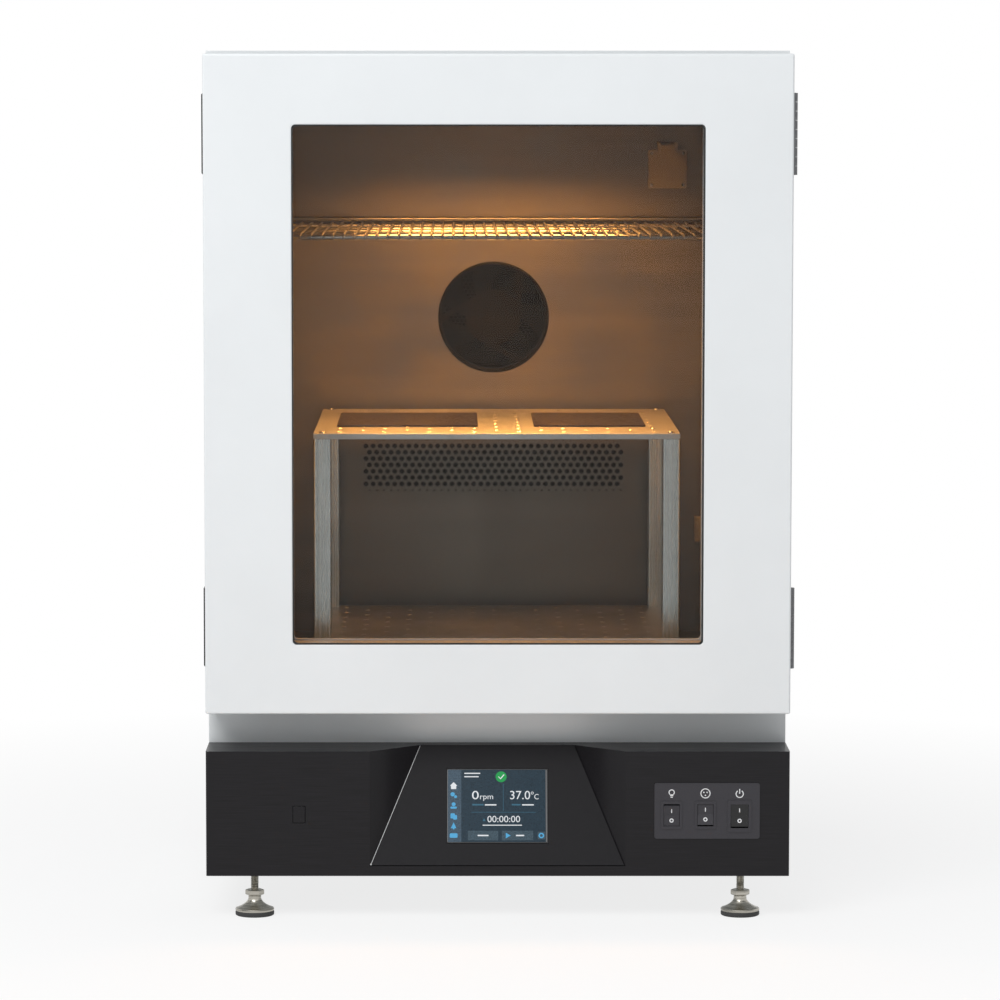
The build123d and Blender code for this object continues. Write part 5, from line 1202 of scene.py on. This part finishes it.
class INCUBATOR_OT_feet(bpy.types.Operator):
    """Adds the four levelling feet with their rubber pads"""
    bl_idname = "incubator.feet"
    bl_label = "Levelling feet"

    def execute(self, context):
        material = turned_zinc()
        metal, pad = foot_parts(context.scene.incubator_cabinet)
        for depth in ("front", "rear"):
            for side in ("left", "right"):
                node = f"foot_{depth}_{side}"
                low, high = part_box(node)
                place = np.array([[(low.x + high.x) / 2, (low.y + high.y) / 2, 0.0]])
                body = f"{depth}_{side}_foot"
                place_piece(f"{node}_turned", [copies(part, place) for part in metal], material, body,
                            [node])
                place_piece(f"{node}_pad", [copies(part, place) for part in pad], finish("black_rubber"),
                            body)
        return {"FINISHED"}


# Screen and switch signs
# The sloping panel in millimetres: its run and climb, its lower edge over the console's foot, half its
# upper width, the screen's middle up the slope, the screen's half sides and how far its glass stands out
PANEL_RUN, PANEL_CLIMB = 57.2, 141.2
LIP_RISE = 12.2
PANEL_TOP_HALF = 94.6
SCREEN_MIDDLE = 75.4
SCREEN_HALF = (61.8, 46.6)
GLASS_PROUD = 0.8
# The menu signs on the screen: their column and their rows from the screen's middle, in millimetres
ICON_COLUMN = -53.8
ICON_ROWS = (25.3, 13.3, 0.0, -13.3, -25.3, -37.3)
# The rockers: distance of their faces from the pivot in millimetres, then the lean of each half of the
# face and the tilt at rest, both in degrees
ROCKER_FACE = 6.7
ROCKER_LEAN = 6.0
ROCKER_TILT = 6.0
# Height of the signs over the switches above the ground, in millimetres
SIGN_HEIGHT = 155.1


def slope_frame():
    """The screen's middle, its direction to the right and its direction up the slope."""
    span = math.hypot(PANEL_RUN, PANEL_CLIMB)
    up = np.array([0.0, PANEL_RUN / span, PANEL_CLIMB / span])
    start = np.array([0.0, FRONT_FACE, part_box("console_shell")[0].z + LIP_RISE * MM])
    return start + up * SCREEN_MIDDLE * MM, np.array([1.0, 0.0, 0.0]), up


def screen_shapes():
    """Everything that the screen shows, by colour, in millimetres from its middle. Words are plain bars."""
    wide, tall = SCREEN_HALF
    x = ICON_COLUMN
    house, rotation, user, pages, notice, note = ICON_ROWS
    home = [polygon([(x + 4.4, house), (x, house + 4.6), (x - 4.4, house)]),
            rectangle(x - 3.2, x + 3.2, house - 4.2, house + 0.1)]
    white = home + [
        rectangle(-40.8, -21.0, 40.2, 41.6, 0.6), rectangle(-40.8, -23.0, 36.0, 37.4, 0.6),
        figures("0", -31.2, 8.2, 8.2, 10.6), figures("rpm", -21.4, 6.2, 16.0, 6.6),
        figures("37.0", 15.4, 8.2, 24.6, 10.6), figures("°", 41.0, 14.4, 3.4, 3.4),
        figures("C", 45.2, 8.2, 5.2, 6.6),
        rectangle(-15.6, -1.2, 0.4, 2.0, 0.7), rectangle(30.0, 44.6, 0.4, 2.0, 0.7),
        figures("00:00:00", -12.4, -20.6, 40.0, 8.0),
        rectangle(-18.4, 30.0, -24.9, -23.8, 0.5),
        rectangle(-24.6, -11.0, -38.1, -36.4, 0.8), rectangle(22.4, 32.6, -38.1, -36.4, 0.8),
        stroke([(1.2, 36.8), (3.7, 34.0), (8.2, 39.4)], 1.3)]
    blue = [
        disc(x - 1.2, rotation + 1.2, 2.6), disc(x + 2.4, rotation - 1.8, 1.8),
        disc(x, user + 2.0, 2.4), rectangle(x - 4, x + 4, user - 3.6, user - 1, 1.2),
        rectangle(x - 3.8, x + 1.6, pages - 2.6, pages + 3.8, 1.0),
        rectangle(x - 0.6, x + 4.2, pages - 4.0, pages + 1.6, 1.0),
        polygon([(x, notice + 4.6), (x - 3.4, notice - 2.8), (x + 3.4, notice - 2.8)]),
        rectangle(x - 1, x + 1, notice - 4.2, notice - 2.6),
        rectangle(x - 4.8, x + 4.8, note - 2.8, note + 2.8, 1.4),
        polygon([(10.0, -33.8), (10.0, -40.8), (16.0, -37.3)]),
        arc_band(53.5, -37.3, 1.8, 3.4)]
    dim = [rectangle(-31.0, -17.0, 0.4, 2.4, 0.8), rectangle(17.4, 28.4, 0.4, 2.4, 0.8),
           rectangle(6.8, 7.3, -6.7, 28.0), rectangle(-32.0, 47.0, -8.3, -7.8),
           polygon([(-18.4, -19.2), (-14.6, -19.2), (-16.5, -15.4)])]
    field = [rectangle(-36.4, 0.8, -43.3, -31.3, 0.8), rectangle(5.1, 43.6, -43.3, -31.3, 0.8)]
    # Painted highlights: two thin grey lines at the screen's left and right edges stand for light caught by the
    # bezel's edges, and glow with the screen
    edges = [rectangle(-wide + 0.2, -wide + 1.0, -tall + 1.5, tall - 1.5, 0.3),
             rectangle(wide - 2.6, wide - 1.4, -tall + 1.5, tall - 1.5, 0.3)]
    return {
        "screen_field": ([rectangle(-wide + 1.1, wide - 3.0, -tall + 1.1, tall - 1.1, 0.8)], 0.02),
        "screen_sidebar": ([rectangle(-wide + 1.2, -44.4, -tall + 1.2, tall - 1.2, 0.6)], 0.04),
        "screen_buttons": (field + [rectangle(48.8, 58.2, -42.0, -32.6, 1.0)], 0.04),
        "screen_green_disc": ([disc(4.5, 36.6, 6.8)], 0.04),
        "screen_dim_marks": (dim, 0.05),
        "screen_blue_marks": (blue, 0.06),
        "screen_white_marks": (white, 0.07),
        "screen_edge_lines": (edges, 0.05),
    }


class INCUBATOR_OT_screen(bpy.types.Operator):
    """Adds what the touch screen shows"""
    bl_idname = "incubator.screen"
    bl_label = "Screen"

    def execute(self, context):
        settings = context.scene.incubator_console
        fields = {"screen_field": settings.screen_colour, "screen_sidebar": settings.sidebar_colour,
                  "screen_buttons": settings.button_colour}
        # The grey of the screen's edge lines is a painted highlight of the bezel's edges
        marks = {"screen_green_disc": "#25a556", "screen_dim_marks": "#3f6f86",
                 "screen_blue_marks": "#5bb4e6", "screen_white_marks": "#f2f6fa",
                 "screen_edge_lines": "#77797c"}
        origin, right, up = slope_frame()
        for name, (shapes, lift) in screen_shapes().items():
            if name in fields:
                material = lit_print(name + "_light", fields[name], 1.0)
            else:
                material = lit_print(name + "_light", linear(marks[name]), 0.06)
            parts = on_plane(shapes, origin, right, up, GLASS_PROUD + lift)
            place_piece(name, parts, material, "cabinet", closed=False)
        return {"FINISHED"}


class INCUBATOR_OT_painted_seam_highlight(bpy.types.Operator):
    """Adds a pale strip along the left seam of the sloping panel, with a pale dot at its lower end: a painted
    highlight where the panel's edge catches the light
    """
    bl_idname = "incubator.seam_bead"
    bl_label = "Painted seam highlight"

    def execute(self, context):
        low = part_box("display_panel")[0]
        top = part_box("console_shell")[1].z
        half_low, half_high, wire = -low.x, PANEL_TOP_HALF * MM, 0.45 * MM
        lean = PANEL_RUN / PANEL_CLIMB
        front_low = FRONT_FACE + (low.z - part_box("console_shell")[0].z - LIP_RISE * MM) * lean
        front_high = front_low + (top - low.z) * lean
        path = np.linspace([-half_low - 0.3 * MM, front_low, low.z + MM],
                           [-half_high - 0.3 * MM, front_high, top - MM], 8)
        # Painted highlight: the pale strip and the dot stand for the glint of the panel's edge in the left crease
        highlight_finish = moulded("pale_sealing_bead", linear("#c9cbcc"), 0.4, (0.002, 0.002, 0.002), 0.00002, 0.9)
        profile = np.array([(0.0, -1.2), (1.0, -0.7), (1.2, 0.0), (1.0, 0.7), (0.0, 1.2)]) * MM
        parts = [round_wire(path, wire, (1, 0, 0), 6), turned(profile, 12, "z", path[0])]
        place_piece("panel_seam_bead", parts, highlight_finish, "cabinet")
        return {"FINISHED"}


def rocker_signs(half_height, mark):
    """The I on the upper half and the O on the lower half, in millimetres from the rocker's middle."""
    place = 0.45 * half_height
    return [rectangle(-0.55, 0.55, place - mark / 2, place + mark / 2, 0.2)], [arc_band(0, -place, 1.3, 2.6)]


class INCUBATOR_OT_switch_signs(bpy.types.Operator):
    """Adds the printed signs over the switches and the marks on the rockers"""
    bl_idname = "incubator.switch_signs"
    bl_label = "Switch signs"

    def execute(self, context):
        mark = context.scene.incubator_console.mark_height / MM
        print_white = moulded("white_pad_print", linear("#e4e6e8"), 0.5, (0.002, 0.002, 0.002), 0.00001, 0.93)
        right = np.array([1.0, 0.0, 0.0])
        rockers = {"light": ("light_switch", 13.25, -1), "outlet": ("outlet_switch", 13.25, 1),
                   "power": ("power_switch", 14.15, 1)}
        for name, (body, half, side) in rockers.items():
            pivot = np.array(JOINT_PLACE[f"{name}_rocker_tilt"])
            parts = []
            for half_sign, shapes in zip((1, -1), rocker_signs(half, mark)):
                lean = math.radians(half_sign * ROCKER_LEAN - side * ROCKER_TILT)
                swing = math.radians(-side * ROCKER_TILT)
                outward = np.array([0.0, -math.cos(swing), -math.sin(swing)])
                up = np.array([0.0, -math.sin(lean), math.cos(lean)])
                parts += on_plane(shapes, pivot + outward * ROCKER_FACE * MM, right, up, 0.06)
            place_piece(f"{name}_rocker_marks", parts, print_white, body, closed=False)
        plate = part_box("switch_plate")[0]
        bulb = [arc_band(0, 1.2, 2.6, 3.8, -50, 230), rectangle(-1.9, 1.9, -3.4, -1.2, 0.3),
                rectangle(-1.5, 1.5, -5.2, -4.1, 0.4)]
        socket = [arc_band(0, 0, 5.0, 6.2), disc(-2.0, 1.2, 0.9), disc(2.0, 1.2, 0.9), disc(0, -2.4, 0.9)]
        power = [arc_band(0, -0.6, 3.8, 5.0, -235, 55), rectangle(-0.65, 0.65, -0.4, 5.6, 0.3)]
        parts = []
        for (name, _), shapes in zip(rockers.items(), (bulb, socket, power)):
            x = JOINT_PLACE[f"{name}_rocker_tilt"][0]
            parts += on_plane(shapes, (x, plate.y, SIGN_HEIGHT * MM), right, (0.0, 0.0, 1.0), 0.05)
        place_piece("switch_plate_signs", parts, print_white, "cabinet", closed=False)
        return {"FINISHED"}


# Panel and registration
PIECE_OPERATORS = (
    INCUBATOR_OT_stage, INCUBATOR_OT_finishes, INCUBATOR_OT_shelf, INCUBATOR_OT_fan_guard,
    INCUBATOR_OT_impeller, INCUBATOR_OT_mats, INCUBATOR_OT_clamp_holes, INCUBATOR_OT_lamp,
    INCUBATOR_OT_screws, INCUBATOR_OT_seal, INCUBATOR_OT_belt, INCUBATOR_OT_feet,
    INCUBATOR_OT_screen, INCUBATOR_OT_painted_seam_highlight, INCUBATOR_OT_switch_signs,
)
SETTINGS = {
    "incubator_cabinet": CabinetSettings, "incubator_chamber": ChamberSettings,
    "incubator_console": ConsoleSettings, "incubator_stage": StageSettings,
}


class INCUBATOR_PT_pieces(bpy.types.Panel):
    """Lists the operators in the order in which they run"""
    bl_idname = "INCUBATOR_PT_pieces"
    bl_label = "Incubator shaker"
    bl_space_type = "VIEW_3D"
    bl_region_type = "UI"
    bl_category = "Incubator"

    def draw(self, context):
        for operator in PIECE_OPERATORS:
            self.layout.operator(operator.bl_idname)


def register():
    for name, group in SETTINGS.items():
        bpy.utils.register_class(group)
        setattr(bpy.types.Scene, name, bpy.props.PointerProperty(type=group))
    for operator in PIECE_OPERATORS:
        bpy.utils.register_class(operator)
    bpy.utils.register_class(INCUBATOR_PT_pieces)


def unregister():
    bpy.utils.unregister_class(INCUBATOR_PT_pieces)
    for operator in reversed(PIECE_OPERATORS):
        bpy.utils.unregister_class(operator)
    for name, group in reversed(SETTINGS.items()):
        delattr(bpy.types.Scene, name)
        bpy.utils.unregister_class(group)


def main():
    """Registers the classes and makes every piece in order."""
    register()
    for operator in PIECE_OPERATORS:
        family, name = operator.bl_idname.split(".")
        getattr(getattr(bpy.ops, family), name)()
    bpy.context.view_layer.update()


if __name__ == "__main__":
    main()
